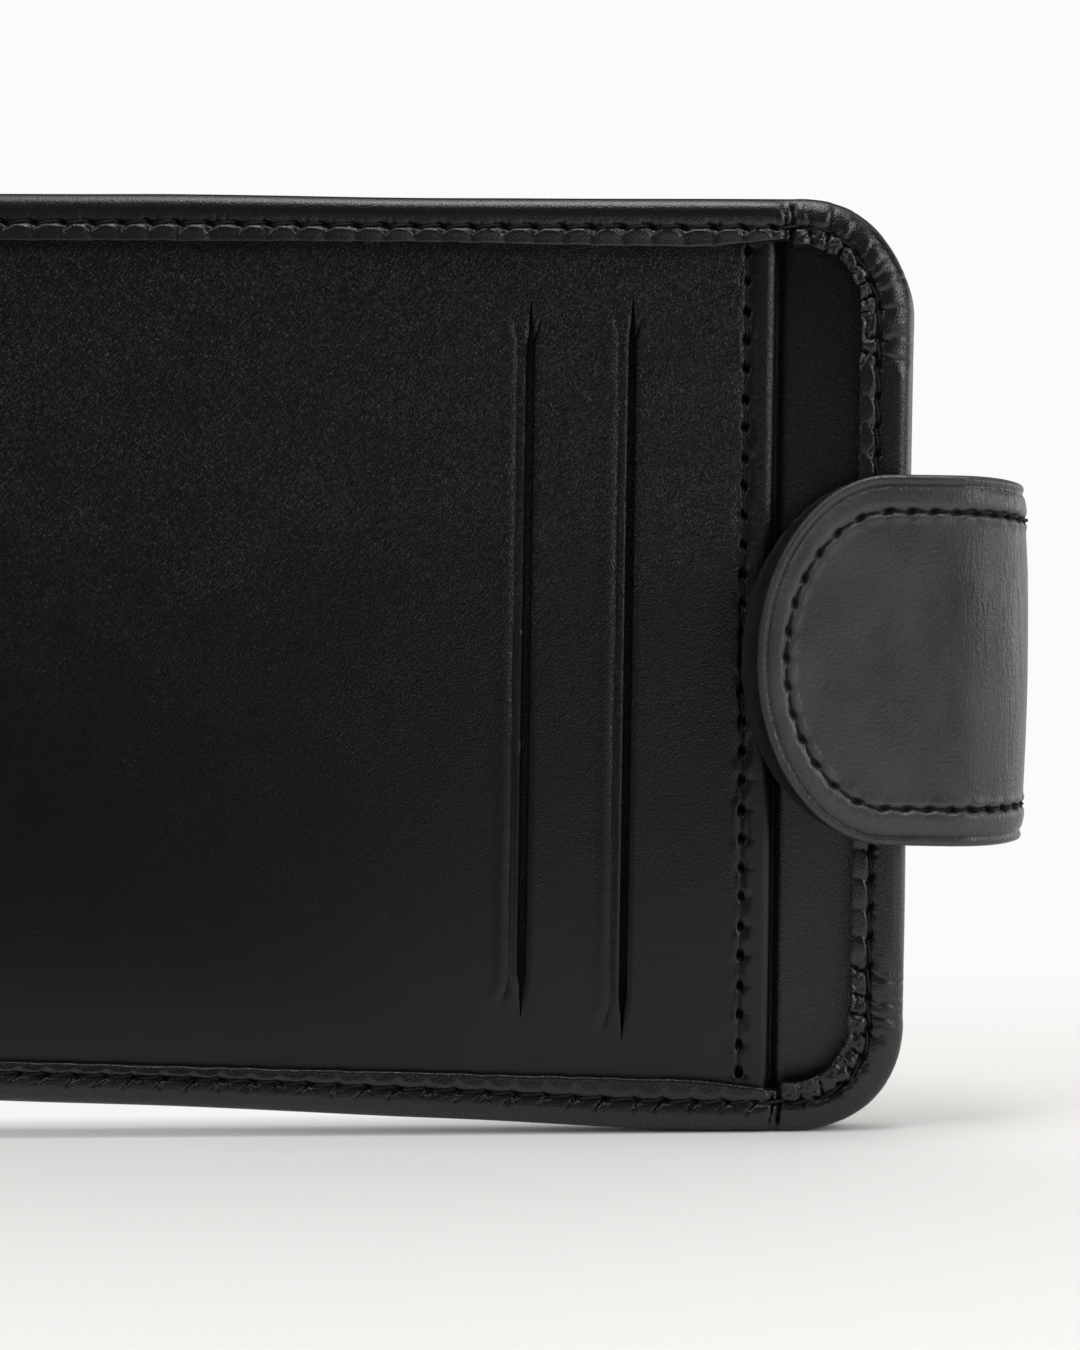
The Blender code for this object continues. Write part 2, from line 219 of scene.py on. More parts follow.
# The panel's fold and its hem
hem_gap = 0.0002
fold_radius = panel_thickness + hem_gap / 2
fold_x = panel_high.x - fold_radius
fold_rounding = 0.00008
fold_pad = 0.00005
fold_pad_start = 0.0004
fold_pad_end = 0.0003
fold_lean = 0.00030
fold_lean_fall = (0.010, 0.060)
fold_lean_rise = (fold_x - 0.0080, fold_x - 0.0030)
fold_dip = 0.00028
fold_dip_reach = 0.00040
fold_wrinkle_reach = 0.0006
fold_wrinkle_rise = (0.020, 0.045)
hem_width = 0.0050
hem_x = (hem_thread_low.x + hem_thread_high.x) / 2 - 0.00030
fold_round_rise = (hem_x + 0.0005, fold_x + 0.0002)
fold_round_fall = (fold_x + 0.0002, fold_x + 0.0016)
hem_length = hem_thread_high.z - hem_thread_low.z
hem_stitch_pitch = 0.00240
hem_stitch_jitter = 0.00010
hem_valley = (0.00010, 0.0, 0.00022)
hem_hole_depth = 0.00048
hem_hole_length = 0.00040
hem_hole_width = 0.00024
fold_wrinkles = (0.000012, 0.00030, 0.0012, 60)
hem_swell = (0.00009, 0.00050, 0.00030)
hem_swell_ripples = (1.0, 0.0011, 0.0006, 32)
hem_pull = (0.00003, 0.00060, 0.00045)
hem_pull_width = 0.00016
hem_end_reach = 0.0004

# Flat sheets under the panel
sheet_step = 0.0010
sheet_growth = 0.20
base_panel_ripples = (0.00005, 0.014, 0.014, 71)
left_lining_ripples = (0.00002, 0.011, 0.011, 72)
right_lining_ripples = (0.00002, 0.011, 0.011, 73)

# Strap
strap_outer_thickness = 0.0014
strap_lining_thickness = 0.0012
strap_layer_gap = 0.0001
strap_half_width = (strap_tip_high.z - strap_tip_low.z) / 2
bend_radius = -strap_tip_low.y
bend_length = math.pi * bend_radius
bend_x = whole_high.x - bend_radius
bend_rise = (-0.0020, 0.0045)
bend_fall = (bend_length - 0.0045, bend_length + 0.0020)
middle_z = (strap_tip_low.z + strap_tip_high.z) / 2
tip_end_length = 0.0107
base_end_length = 0.0130
strap_edge_round = 0.00042
strap_crown = 0.00016
# Painted shade on the rims of the strap's rounded ends: its share of the relief range, and where it fades
# inwards
strap_rim_painted_shade = 0.14
strap_rim_fall = (0.0003, 0.0012)
strap_rim_groove = 0.00085
strap_rim_groove_depth = 0.00013
strap_rim_groove_width = 0.00022
strap_stitch_inset_side = 0.0030
strap_stitch_inset_end = 0.0024
strap_stitch_pitch = 0.00157
strap_stitch_jitter = 0.00004
strap_end_stitch_pitch = 0.0022
strap_end_stitch_jitter = 0.00008
strap_valley = (0.00013, 0.0, 0.00030)
strap_hole_depth = 0.00045
strap_hole_form = (0.00040, 0.00021, math.radians(24))
strap_mound = (0.00013, 0.00050, 0.00034)
strap_pull_height = 0.00003
strap_pull_rise = (-0.0014, -0.0002)
strap_pull_width = 0.00022
strap_inner_rise = (0.0, 0.0010)
strap_wrinkle_height = 0.000012
strap_wrinkles = (1.0, 0.00055, 0.0050, 90)
strap_small_wrinkles = (0.5, 0.000275, 0.0025, 91)
strap_border_ripples = (0.000010, 0.00030, 0.0016, 93)
strap_ripples = (0.00006, 0.0050, 0.0075, 92)
strap_dent_start = (-0.0105, -0.0018)
strap_dent_end = (0.0020, 0.0080)
strap_dent_depth = 0.00012
strap_dent_reach = 0.0024
strap_rise = 0.00040
strap_rise_reach = 0.0060
bend_bulge = 0.00022
bend_narrowing = 0.00040
bend_narrowing_reach = 0.0050
bend_pieces = 4
blend_radius = 0.0047
blend_reach = 0.0013
lining_grains = (0.00006, 0.00026, 0.00026, 95)
lining_lumps = (0.000036, 0.0008, 0.0008, 96)
lining_rough_fall = (0.0010, 0.0022)
lining_edge_round = 0.00025
lining_edge_wander = (0.00009, 0.00045, 0.00045, 97)
lining_edge_wander_fall = (0.0, 0.0006)
lining_side_inset = 0.00010

# Threads
thread_radius = 0.00013
hem_thread_radius = 0.00010
thread_ply_share = 0.16
thread_twist_pitch = 0.00075
thread_sides = 10
thread_rings = 13
thread_dive = 0.00040
thread_end_angle = 0.12
edge_thread_lean = 0.00013
hem_thread_lean = 0.00009
strap_thread_lean = 0.00018
front_thread_sink = stitch_line_sink + 0.6 * stitch_valley[0]
back_thread_sink = 0.00006

# Floor and light. A softbox is its name, place, size and radiance. A card is its name, centre, size, facing
# and glow. The room's light has a level at the horizon and one overhead. These are multiplied by a share from
# the front and one from behind, and by a share from the left and one from the right.
floor_size = 6.0
floor_gap = 0.00001
floor_tip = math.radians(2.1)
floor_grain_size = 0.0008
background_level = 0.965
white_behind = (0.045, 0.130)
# Painted light on the floor right behind the wallet's left end, for camera and mirror-like rays: its depths,
# its places along X and its share
painted_light_left_depths = (0.002, 0.010)
painted_light_left_places = (0.045, 0.005)
painted_light_left_share = 0.90
white_around = (0.25, 0.50)
softboxes = (
    ("overhead_softbox", (0.0, -0.095, 0.60), (0.24, 0.31), 6.0),
    ("right_softbox", (0.58, -0.40, 0.33), (0.22, 0.42), 6.5),
    ("left_softbox", (-0.45, -0.42, 0.42), (0.14, 0.34), 4.0),
)
room_light_upward = (1.05, 0.15)
room_light_depthwise = (0.42, 2.70)
room_light_sideways = (1.35, 0.60)
cards = (
    ("dark_card_front", (-0.325, -0.75, 0.64), (2.15, 1.3), (0.0, 1.0, 0.0), 0.02),
    ("dark_card_right", (0.95, -0.05, 0.75), (1.4, 1.3), (-1.0, 0.0, 0.0), 0.02),
    ("dark_card_floor", (-0.60, -0.395, 0.002), (1.2, 0.69), (0.0, 0.0, 1.0), 0.15),
    ("dark_card_behind", (-0.20, 0.75, 0.90), (1.6, 1.2), (0.0, -1.0, 0.0), 0.02),
    ("dark_card_left", (-0.95, 0.0, 0.64), (1.2, 1.3), (1.0, 0.0, 0.0), 0.02),
    ("pale_card_right", (0.85, 0.30, 0.12), (0.60, 0.50), (-0.95, -0.31, 0.0), 3.2),
)

# Sampling
fine_step = 0.00016
strap_step = 0.00019
strap_border_zone = 0.0048
strap_border_steps = (0.00006, 0.00035, 0.14)
strap_inner_columns = 12
spine_share = 0.35
row_gap = 0.0000001
place_nudge = 0.00001
weld_distance = 0.0000002
sharp_angle = math.radians(48)
relief_range = 0.0005


# Shared shapes of relief

def smoothstep(low, high, value):
    """Rises smoothly from 0 at the low value to 1 at the high one."""
    share = np.clip((value - low) / (high - low), 0.0, 1.0)
    return share * share * (3.0 - 2.0 * share)


def raised(rise, fall, value):
    """Rises smoothly from 0 to 1 between the first two places and falls back between the other two."""
    return smoothstep(*rise, value) * (1.0 - smoothstep(*fall, value))


def hump(distance, reach):
    """1 at no distance, falling smoothly away from it."""
    return np.exp(-((distance / reach) ** 2))


def groove(distance, width):
    """1 at no distance, falling away from it like a sharp valley."""
    return np.exp(-np.abs(distance) / width)


def edge_drop(distance, radius):
    """How far a face falls away at a distance from its edge, which is rounded with this radius."""
    into = np.clip(radius - distance, 0.0, radius)
    return radius - np.sqrt(radius**2 - into**2)


def mound(distance, form):
    """A smooth mound from its height, its place and its reach."""
    height, place, reach = form
    return height * hump(distance - place, reach)


def ripples(first, second, form):
    """Smooth random heights over a surface, from their greatest height, a size along each way, and a seed."""
    height, first_size, second_size, seed = form
    table_size = 61
    table = np.random.default_rng(seed).uniform(-1.0, 1.0, (table_size, table_size))
    first_place = np.asarray(first) / first_size
    second_place = np.asarray(second) / second_size
    first_cell = np.floor(first_place).astype(int)
    second_cell = np.floor(second_place).astype(int)
    first_share = smoothstep(0.0, 1.0, first_place - first_cell)
    second_share = smoothstep(0.0, 1.0, second_place - second_cell)

    def between_cells(second_step):
        column = (second_cell + second_step) % table_size
        near = table[first_cell % table_size, column]
        return near * (1.0 - first_share) + table[(first_cell + 1) % table_size, column] * first_share

    return height * (between_cells(0) * (1.0 - second_share) + between_cells(1) * second_share)


def line_ripples(place, height, size, seed):
    """Smooth random heights along one way."""
    return ripples(place, 0 * place, (height, size, 1.0, seed))


def even_holes(length, pitch, jitter, seed):
    """Places of stitch holes along a line, nearly even. The first is at 0, and the end isn't one of them."""
    count = max(2, round(length / pitch))
    holes = np.arange(count) * (length / count)
    holes[1:] += np.random.default_rng(seed).uniform(-jitter, jitter, count - 1)
    return holes


def within_stitches(places, holes, length):
    """For each place, the number of its stitch, the share of it that is past, and the nearest hole."""
    number = np.searchsorted(holes, places, side="right") - 1
    ends = np.append(holes[1:], length)
    from_start = places - holes[number]
    to_end = ends[number] - places
    share = from_start / (ends[number] - holes[number])
    return number, share, np.where(from_start < to_end, from_start, -to_end)


def along_stitches(holes, stop, first, last):
    """Shares of the way along a stitch for the rings of its thread, and their places for all stitches."""
    share = np.linspace(first, last, thread_rings)
    return share, holes[:, None] + (np.append(holes[1:], stop) - holes)[:, None] * share[None, :]


def slanted_hole(along, across, length, width, slant):
    """A long narrow pit, turned by the slant from the line that it is on."""
    turned_along = along * math.cos(slant) + across * math.sin(slant)
    turned_across = across * math.cos(slant) - along * math.sin(slant)
    return hump(turned_along, length) * hump(turned_across, width)


# Meshes

def grid_faces(rows, columns, closed=False):
    """Faces of a grid that is numbered row by row. A closed one joins its last row to its first."""
    row = np.arange(rows if closed else rows - 1)[:, None]
    column = np.arange(columns - 1)[None, :]
    here = row * columns + column
    there = (row + 1) % rows * columns + column
    return np.stack([here, here + 1, there + 1, there], axis=-1).reshape(-1, 4)


def new_piece(name, points, faces, relief=None):
    """A welded mesh object with its faces turned outwards.

    The relief, in metres, belongs to the first points. It is kept as a share: 0 in creases, 1 on ridges.
    """
    mesh = bpy.data.meshes.new(name)
    mesh.from_pydata(points.reshape(-1, 3).tolist(), [], [list(face) for face in faces])
    if relief is not None:
        values = np.full(len(mesh.vertices), 0.5, np.float32)
        values[: relief.size] = np.clip(0.5 + relief / relief_range, 0.0, 1.0).reshape(-1)
        mesh.attributes.new("relief", "FLOAT", "POINT").data.foreach_set("value", values)
    work = bmesh.new()
    work.from_mesh(mesh)
    bmesh.ops.remove_doubles(work, verts=work.verts, dist=weld_distance)
    loose = [vertex for vertex in work.verts if not vertex.link_faces]
    bmesh.ops.delete(work, geom=loose, context="VERTS")
    bmesh.ops.recalc_face_normals(work, faces=work.faces)
    work.to_mesh(mesh)
    work.free()
    mesh.shade_smooth()
    mesh.set_sharp_from_angle(angle=sharp_angle)
    piece = bpy.data.objects.new(name, mesh)
    bpy.context.scene.collection.objects.link(piece)
    return piece


def solid_sheet(name, outer, inner, faces, relief):
    """A closed sheet between an outer and an inner face with the same points, walled along its open edges."""
    count = outer.size // 3
    points = np.concatenate([outer.reshape(-1, 3), inner.reshape(-1, 3)])
    fronts = faces.tolist()
    edges = dict.fromkeys(edge for face in fronts for edge in zip(face, face[1:] + face[:1]))
    walls = [
        [end, start, start + count, end + count]
        for start, end in edges
        if (end, start) not in edges and start != end
    ]
    backs = (faces[:, ::-1] + count).tolist()
    return new_piece(name, points, fronts + backs + walls, relief)


def settle(piece, material, slot, nodes=(), bodies=("wallet_body",), crossing=None):
    """Gives a piece its material, the solids it stands for and the body it moves with. Its slot is not used.

    Where it crosses a hinge, it is only baked in place as it stands; it does not bend between its two bodies.
    """
    piece.data.materials.append(material)
    if len(bodies) == 1:
        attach(piece, bodies[0])
    else:
        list(bodies)
        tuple(crossing[0])
        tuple(crossing[1])
        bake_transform(piece)
    if nodes:
        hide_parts(*nodes)


def thread_arch():
    """How far a stitch's thread rises at each ring: 0 where it dives into its holes, near 1 between them."""
    return np.sin(np.linspace(0.0, math.pi, thread_rings)) ** 0.45


def unit(vectors):
    return vectors / np.linalg.norm(vectors, axis=-1, keepdims=True)


def threads(name, centres, outward, radius):
    """Stitches as short twisted threads, from the centres and the outward ways of each one's rings."""
    along = unit(np.gradient(centres, axis=1))
    across = unit(np.cross(along, outward))
    upward = np.cross(across, along)
    steps = np.linalg.norm(np.diff(centres, axis=1), axis=2)
    travelled = np.concatenate([np.zeros((len(centres), 1)), np.cumsum(steps, axis=1)], axis=1)
    twist = travelled * 2 * math.pi / thread_twist_pitch
    taper = np.sin(np.linspace(thread_end_angle, math.pi - thread_end_angle, thread_rings)) ** 0.35
    angle = np.arange(thread_sides) * 2 * math.pi / thread_sides
    plies = 1.0 + thread_ply_share * np.cos(2.0 * (angle[None, None, :] - twist[:, :, None]))
    reach = radius * taper[None, :, None] * plies
    points = (
        centres[:, :, None, :]
        + (reach * np.cos(angle))[..., None] * upward[:, :, None, :]
        + (reach * np.sin(angle))[..., None] * across[:, :, None, :]
    )
    ring = np.arange(thread_rings - 1)[:, None] * thread_sides
    side = np.arange(thread_sides)[None, :]
    here = ring + side
    after = ring + (side + 1) % thread_sides
    quads = np.stack([here, after, after + thread_sides, here + thread_sides], axis=-1).reshape(-1, 4)
    faces = []
    for stitch in range(len(centres)):
        first = stitch * thread_rings * thread_sides
        last = first + (thread_rings - 1) * thread_sides
        faces += (quads + first).tolist()
        faces.append(list(range(first + thread_sides - 1, first - 1, -1)))
        faces.append(list(range(last, last + thread_sides)))
    return new_piece(name, points, faces)


# Materials

class Value:
    """A node's output, which can be added, taken away, multiplied and mapped."""

    def __init__(self, nodes, socket):
        self.nodes = nodes
        self.socket = socket

    def sum(self, operation, *others):
        return self.nodes.add("Math", dict(enumerate((self, *others))), operation=operation)

    def __add__(self, other):
        return self.sum("ADD", other)

    def __sub__(self, other):
        return self.sum("SUBTRACT", other)

    def __mul__(self, other):
        return self.sum("MULTIPLY", other)

    def mapped(self, low, high, to_low=0.0, to_high=1.0):
        """The value carried over from one range to another, and held at its ends."""
        inputs = {"Value": self, "From Min": low, "From Max": high, "To Min": to_low, "To Max": to_high}
        return self.nodes.add("MapRange", inputs, "Result")


class Nodes:
    """The shader nodes of a material or of the world."""

    def __init__(self, owner):
        owner.use_nodes = True
        self.owner = owner
        self.tree = owner.node_tree

    def feed(self, socket, value):
        """Gives an input a plain value, or the output of another node."""
        if isinstance(value, Value):
            self.tree.links.new(value.socket, socket)
        else:
            socket.default_value = value

    def add(self, kind, inputs=None, output=0, **settings):
        """One output of a new node with these inputs and settings."""
        node = self.tree.nodes.new(f"ShaderNode{kind}")
        for name, value in settings.items():
            setattr(node, name, value)
        for name, value in (inputs or {}).items():
            self.feed(node.inputs[name], value)
        return Value(self, node.outputs[output])

    def place(self, *scale):
        """The place on the object, drawn out by a scale of its own along each axis."""
        place = self.add("TexCoord", output="Object")
        return self.add("Mapping", {"Vector": place, "Scale": scale}, "Vector")

    def axis(self, name, place=None):
        """One coordinate of a place, which is the place on the object where none is given."""
        return self.add("SeparateXYZ", {0: place or self.add("TexCoord", output="Object")}, name)

    def noise(self, *sizes, detail=3.0, roughness=0.5, distortion=0.0):
        """Random values from about 0 to 1, with spots of one size, or of these along X, Y and Z."""
        scale = [1.0 / size for size in (sizes if len(sizes) == 3 else sizes * 3)]
        inputs = {"Vector": self.place(*scale), "Scale": 1.0, "Detail": detail}
        return self.add("TexNoise", {**inputs, "Roughness": roughness, "Distortion": distortion}, "Fac")

    def relief(self):
        """The share of relief that the mesh carries: 0 in creases, 1 on ridges."""
        return self.add("Attribute", output="Fac", attribute_name="relief")

    def tint(self, share, dark, light):
        """A colour between two, which are a level of grey each or three levels."""
        mix = self.add("Mix", {"Factor": share}, data_type="RGBA").socket.node
        for socket in mix.inputs:
            if socket.type == "RGBA":
                level = {"A": dark, "B": light}[socket.name]
                socket.default_value = (*(level if isinstance(level, tuple) else (level,) * 3), 1.0)
        return Value(self, [output for output in mix.outputs if output.type == "RGBA"][0])

    def ray_share(self, *kinds):
        """1 for rays of these kinds, and 0 for others."""
        path = self.add("LightPath").socket.node
        first, *others = [Value(self, path.outputs[kind]) for kind in kinds]
        for other in others:
            first = first.sum("MAXIMUM", other)
        return first

    def finish(self, colour, roughness, bumps=None, bump_height=None, shine=0.5, metal=0.0):
        """Joins the looks to the shader, with fine bumps of this height, and returns the material."""
        looks = {"Base Color": colour, "Roughness": roughness, "Specular IOR Level": shine, "Metallic": metal}
        if bumps:
            inputs = {"Height": bumps, "Distance": bump_height, "Strength": 1.0}
            looks["Normal"] = self.add("Bump", inputs, "Normal")
        for name, value in looks.items():
            self.feed(self.tree.nodes["Principled BSDF"].inputs[name], value)
        return self.owner


def new_material(name):
    return Nodes(bpy.data.materials.new(name))


def shine_with_painted_crease_shade(nodes, shine):
    """A shine that is lost in the deepest creases and stitch holes: painted shade on the leather's
    reflections.
    """
    return nodes.relief().mapped(0.06, 0.37, 0.1 * shine, shine)


def pebbled_leather(name, levels, roughness, grain_height, shine, worn_heights=None):
    """Fine pebbled black leather: small domed cells with creases between them, in drifting patches.

    Between the worn heights the grain fades out downwards. It also fades past the hem's stitches.
    """
    grain_size = 0.00023
    pore_size = 0.00007
    drift_size = 0.006
    streak_size = (0.0011, 0.0011, 0.0016)
    height_wander = 0.020
    scale = 1.0 / grain_size
    nodes = new_material(name)
    warp = {"Vector": nodes.place(scale, scale, scale), "Scale": 0.6, "Detail": 1.0}
    warp = nodes.add("TexNoise", warp, "Color")
    place = nodes.add("VectorMath", {0: nodes.place(scale, scale, 0.75 * scale), 1: warp}, operation="ADD")
    cells = {"Vector": place, "Scale": 1.0, "Randomness": 1.0}
    pebbles = nodes.add("TexVoronoi", cells, "Distance", feature="DISTANCE_TO_EDGE").mapped(0.0, 0.36)
    pores = nodes.noise(pore_size, detail=2.0)
    drift = nodes.noise(drift_size, detail=4.0, roughness=0.6)
    streaks = nodes.noise(*streak_size, detail=4.0, roughness=0.65, distortion=0.6)
    grain = pebbles * drift.mapped(0.3, 0.7, 0.80, 1.0)
    height = pores * 0.32 + grain
    if worn_heights:
        worn = (drift * height_wander + nodes.axis("Z")).mapped(*worn_heights, 0.10, 1.0)
        height = height * (worn * nodes.axis("X").mapped(hem_x, hem_x + grain_size, 1.0, 0.35))
    tone = grain * 0.35 + drift.mapped(0.25, 0.75, 0.0, 0.4)
    # Painted shade and light: the colour is darker in the mesh's creases and holes and lighter on its ridges
    tone = nodes.relief() * 0.5 + tone
    colour = nodes.tint(tone.mapped(0.1, 1.1), *levels)
    gloss = (pebbles * 0.5 + drift).mapped(0.2, 1.2, *roughness)
    height = streaks * 0.14 + height
    return nodes.finish(colour, gloss, height, grain_height, shine_with_painted_crease_shade(nodes, shine))


def smooth_leather(name, levels, roughness, streak_height, shine):
    """Smooth satin leather with fine upright streaks, which open into creases round the bend."""
    streak_size = (0.00022, 0.00022, 0.0030)
    crease_size = (0.00060, 0.00060, 0.0070)
    grain_size = (0.00028, 0.00028, 0.00032)
    drift_size = (0.004, 0.004, 0.007)
    pore_size = 0.00009
    streaks_start = bend_x - 0.002
    streaks_full = bend_x + 0.005
    nodes = new_material(name)
    streaks = nodes.noise(*streak_size, detail=3.0, roughness=0.6, distortion=0.3)
    creases = nodes.noise(*crease_size, detail=2.0, roughness=0.55, distortion=0.5)
    pores = nodes.noise(pore_size, detail=2.0)
    drift = nodes.noise(*drift_size, detail=4.0)
    grain = nodes.noise(*grain_size, detail=2.0, roughness=0.6)
    worn = nodes.axis("X").mapped(streaks_start, streaks_full, 0.06, 1.0)
    lines = (creases - 0.5).sum("ABSOLUTE").mapped(0.0, 0.045)
    cuts = (lines - 1.0) * worn
    fine = streaks * worn
    height = grain * 1.8 + (pores * 0.25 + (cuts * 0.7 + fine))
    # Painted shade: the colour darkens along the crease lines round the bend, and with the relief share it is
    # darker in creases, stitch holes and the painted rim shade, and lighter on ridges
    tone = grain * 0.25 + (cuts * 0.18 + fine.mapped(0.0, 0.7, 0.25, 0.55))
    tone = drift.mapped(0.35, 0.65, -0.05, 0.40) + tone
    tone = (nodes.relief() - 0.5) * 0.9 + tone
    colour = nodes.tint(tone.mapped(0.0, 1.1), *levels)
    polish = nodes.relief().mapped(0.26, 0.42, 0.60, 1.0)
    gloss = drift.mapped(0.3, 0.7, *roughness) * polish
    return nodes.finish(colour, gloss, height, streak_height, shine_with_painted_crease_shade(nodes, shine))


def raw_leather(name):
    """The strap's backing: dull, fibrous leather."""
    fibre_size = (0.00012, 0.00012, 0.00030)
    drift_size = 0.0015
    fibre_height = 0.00005
    nodes = new_material(name)
    fibres = nodes.noise(*fibre_size, detail=4.0, roughness=0.7, distortion=0.8)
    tone = fibres * 0.7 + nodes.noise(drift_size) * 0.5
    colour = nodes.tint(tone.mapped(0.25, 0.95), 0.002, 0.011)
    return nodes.finish(colour, fibres.mapped(0.2, 0.8, 0.62, 0.86), fibres, fibre_height, shine=0.20)


def thread_material(name):
    """Black twisted polyester, with fine fibres."""
    fibre_size = 0.00004
    drift_size = 0.002
    fibre_height = 0.00001
    nodes = new_material(name)
    fibres = nodes.noise(fibre_size, detail=2.0)
    colour = nodes.tint(fibres * nodes.noise(drift_size, detail=2.0), 0.0015, 0.010)
    return nodes.finish(colour, fibres.mapped(0.3, 0.7, 0.50, 0.70), fibres, fibre_height, shine=0.25)


def woven_lining(name):
    """Thin black lining fabric in a plain weave."""
    yarn_pitch = 0.00030
    drift_size = 0.003
    yarn_height = 0.00003
    nodes = new_material(name)
    place = nodes.place(*(2 * math.pi / yarn_pitch,) * 3)
    weave = nodes.axis("X", place).sum("SINE") * nodes.axis("Z", place).sum("SINE")
    tone = weave * 0.25 + nodes.noise(drift_size)
    colour = nodes.tint(tone.mapped(0.2, 0.9), 0.004, 0.012)
    return nodes.finish(colour, weave.mapped(-1.0, 1.0, 0.85, 0.65), weave, yarn_height)


def fibre_board(name):
    """Pressed fibre board, brown-grey and matt."""
    fibre_size = (0.0012, 0.0006, 0.0003)
    fibre_height = 0.00004
    nodes = new_material(name)
    fibres = nodes.noise(*fibre_size, detail=5.0, roughness=0.7, distortion=1.0)
    colour = nodes.tint(fibres, (0.060, 0.052, 0.045), (0.150, 0.135, 0.115))
    return nodes.finish(colour, fibres.mapped(0.2, 0.8, 0.75, 0.9), fibres, fibre_height)


def plated_steel(name):
    """Brushed, plated steel for the magnet and its keeper plate."""
    brush_size = (0.00005, 0.00005, 0.004)
    brush_height = 0.000004
    nodes = new_material(name)
    brushing = nodes.noise(*brush_size, detail=3.0)
    colour = nodes.tint(brushing, 0.48, 0.62)
    return nodes.finish(colour, brushing.mapped(0.2, 0.8, 0.26, 0.42), brushing, brush_height, metal=1.0)


# The cover with its turned edge

def outline_wander(x, upward, turn):
    """How far the worn outline stands out from the true one, for each sample."""
    left = raised(lift_rise, lift_fall, x)
    wander = smoothstep(0.2, 1.0, -upward) * (mound(x, bottom_sag) - bottom_lift * left)
    wander = wander + smoothstep(0.2, 1.0, upward) * top_rise * left
    for centre, bulge in corner_bulges:
        wander = wander + mound(turn, (bulge, math.radians(centre), corner_bulge_reach))
    return wander


class BodyLoop:
    """Samples round the body's outline, anticlockwise from the left end of its bottom side.

    For each sample it holds the place on the outline, the way outwards, how far along the stitch line it is,
    how much it belongs to the two short ends, and how much to the pleats of a corner. For each corner it
    holds the places of its pleats, and how far every sample is past the seam at its long side.
    """

    def __init__(self):
        stitch_radius = corner_radius - (stitch_inset_long + stitch_inset_ends) / 2
        arc = math.pi / 2 * stitch_radius
        left, right = body_left + corner_radius, body_right - corner_radius
        low, high = corner_radius, body_height - corner_radius
        parts, corners = [], []
        travelled = 0.0
        for side, centre in enumerate(((right, low), (right, high), (left, high), (left, low))):
            long_side = side % 2 == 0
            length = right - left if long_side else high - low
            facing = math.radians(90 * side - 90)
            outward = np.array([math.cos(facing), math.sin(facing)])
            onward = np.array([-outward[1], outward[0]])
            start = centre + outward * corner_radius - onward * length
            share = np.linspace(0.0, 1.0, round(length / fine_step), endpoint=False)
            line = start + share[:, None] * length * onward
            level = 0.0 * share
            parts.append((line, facing + level, travelled + share * length, level + (not long_side)))
            travelled += length
            share = np.linspace(0.0, 1.0, round(arc / fine_step), endpoint=False)
            turn = facing + share * math.pi / 2
            bow = centre + np.stack([np.cos(turn), np.sin(turn)], axis=1) * corner_radius
            rise = smoothstep(0.0, 1.0, share)
            parts.append((bow, turn, travelled + share * arc, rise if long_side else 1.0 - rise))
            reaches = (pleat_reach_long, pleat_reach_ends)
            before, after = reaches if long_side else reaches[::-1]
            corners.append((travelled - before, travelled + arc + after))
            travelled += arc
        self.outline, self.turn, self.along, self.end_share = (np.concatenate(part) for part in zip(*parts))
        self.outward = np.stack([np.cos(self.turn), np.sin(self.turn)], axis=1)
        self.length = travelled
        self.pleated = np.max([
            raised((first - pleat_fade, first), (last, last + pleat_fade), place)
            for first, last in corners
            for place in (self.along, self.along + self.length)
        ], axis=0)
        self.stitch_inset = stitch_inset_long + (stitch_inset_ends - stitch_inset_long) * self.end_share
        self.lip_width = lip_width_long + (lip_width_ends - lip_width_long) * self.end_share
        at_top = smoothstep(0.5, 1.0, self.outward[:, 1])
        self.lip_width += at_top * mound(self.outline[:, 0], top_lip_widening)
        self.wander = outline_wander(self.outline[:, 0], self.outward[:, 1], self.turn)
        self.holes = even_holes(self.length, stitch_pitch, stitch_jitter, 11)
        self.pleats = pleat_places(corners)
        self.past_seams = [
            -self.way_from(places[0]) if corner % 2 == 0 else self.way_from(places[-1])
            for corner, places in enumerate(self.pleats)
        ]

    def way_from(self, place):
        """How far each sample is past a place on the stitch line, the short way round."""
        return (self.along - place + self.length / 2) % self.length - self.length / 2


def pleat_places(corners):
    """For each corner, the places of its creases along the stitch line."""
    draw = np.random.default_rng(5)
    pleats = []
    for first, last in corners:
        count = round((last - first) / pleat_pitch)
        places = first + (last - first) * np.arange(count + 1) / count
        places[1:-1] += draw.uniform(-0.22, 0.22, count - 1) * pleat_pitch
        pleats.append(places)
    return pleats


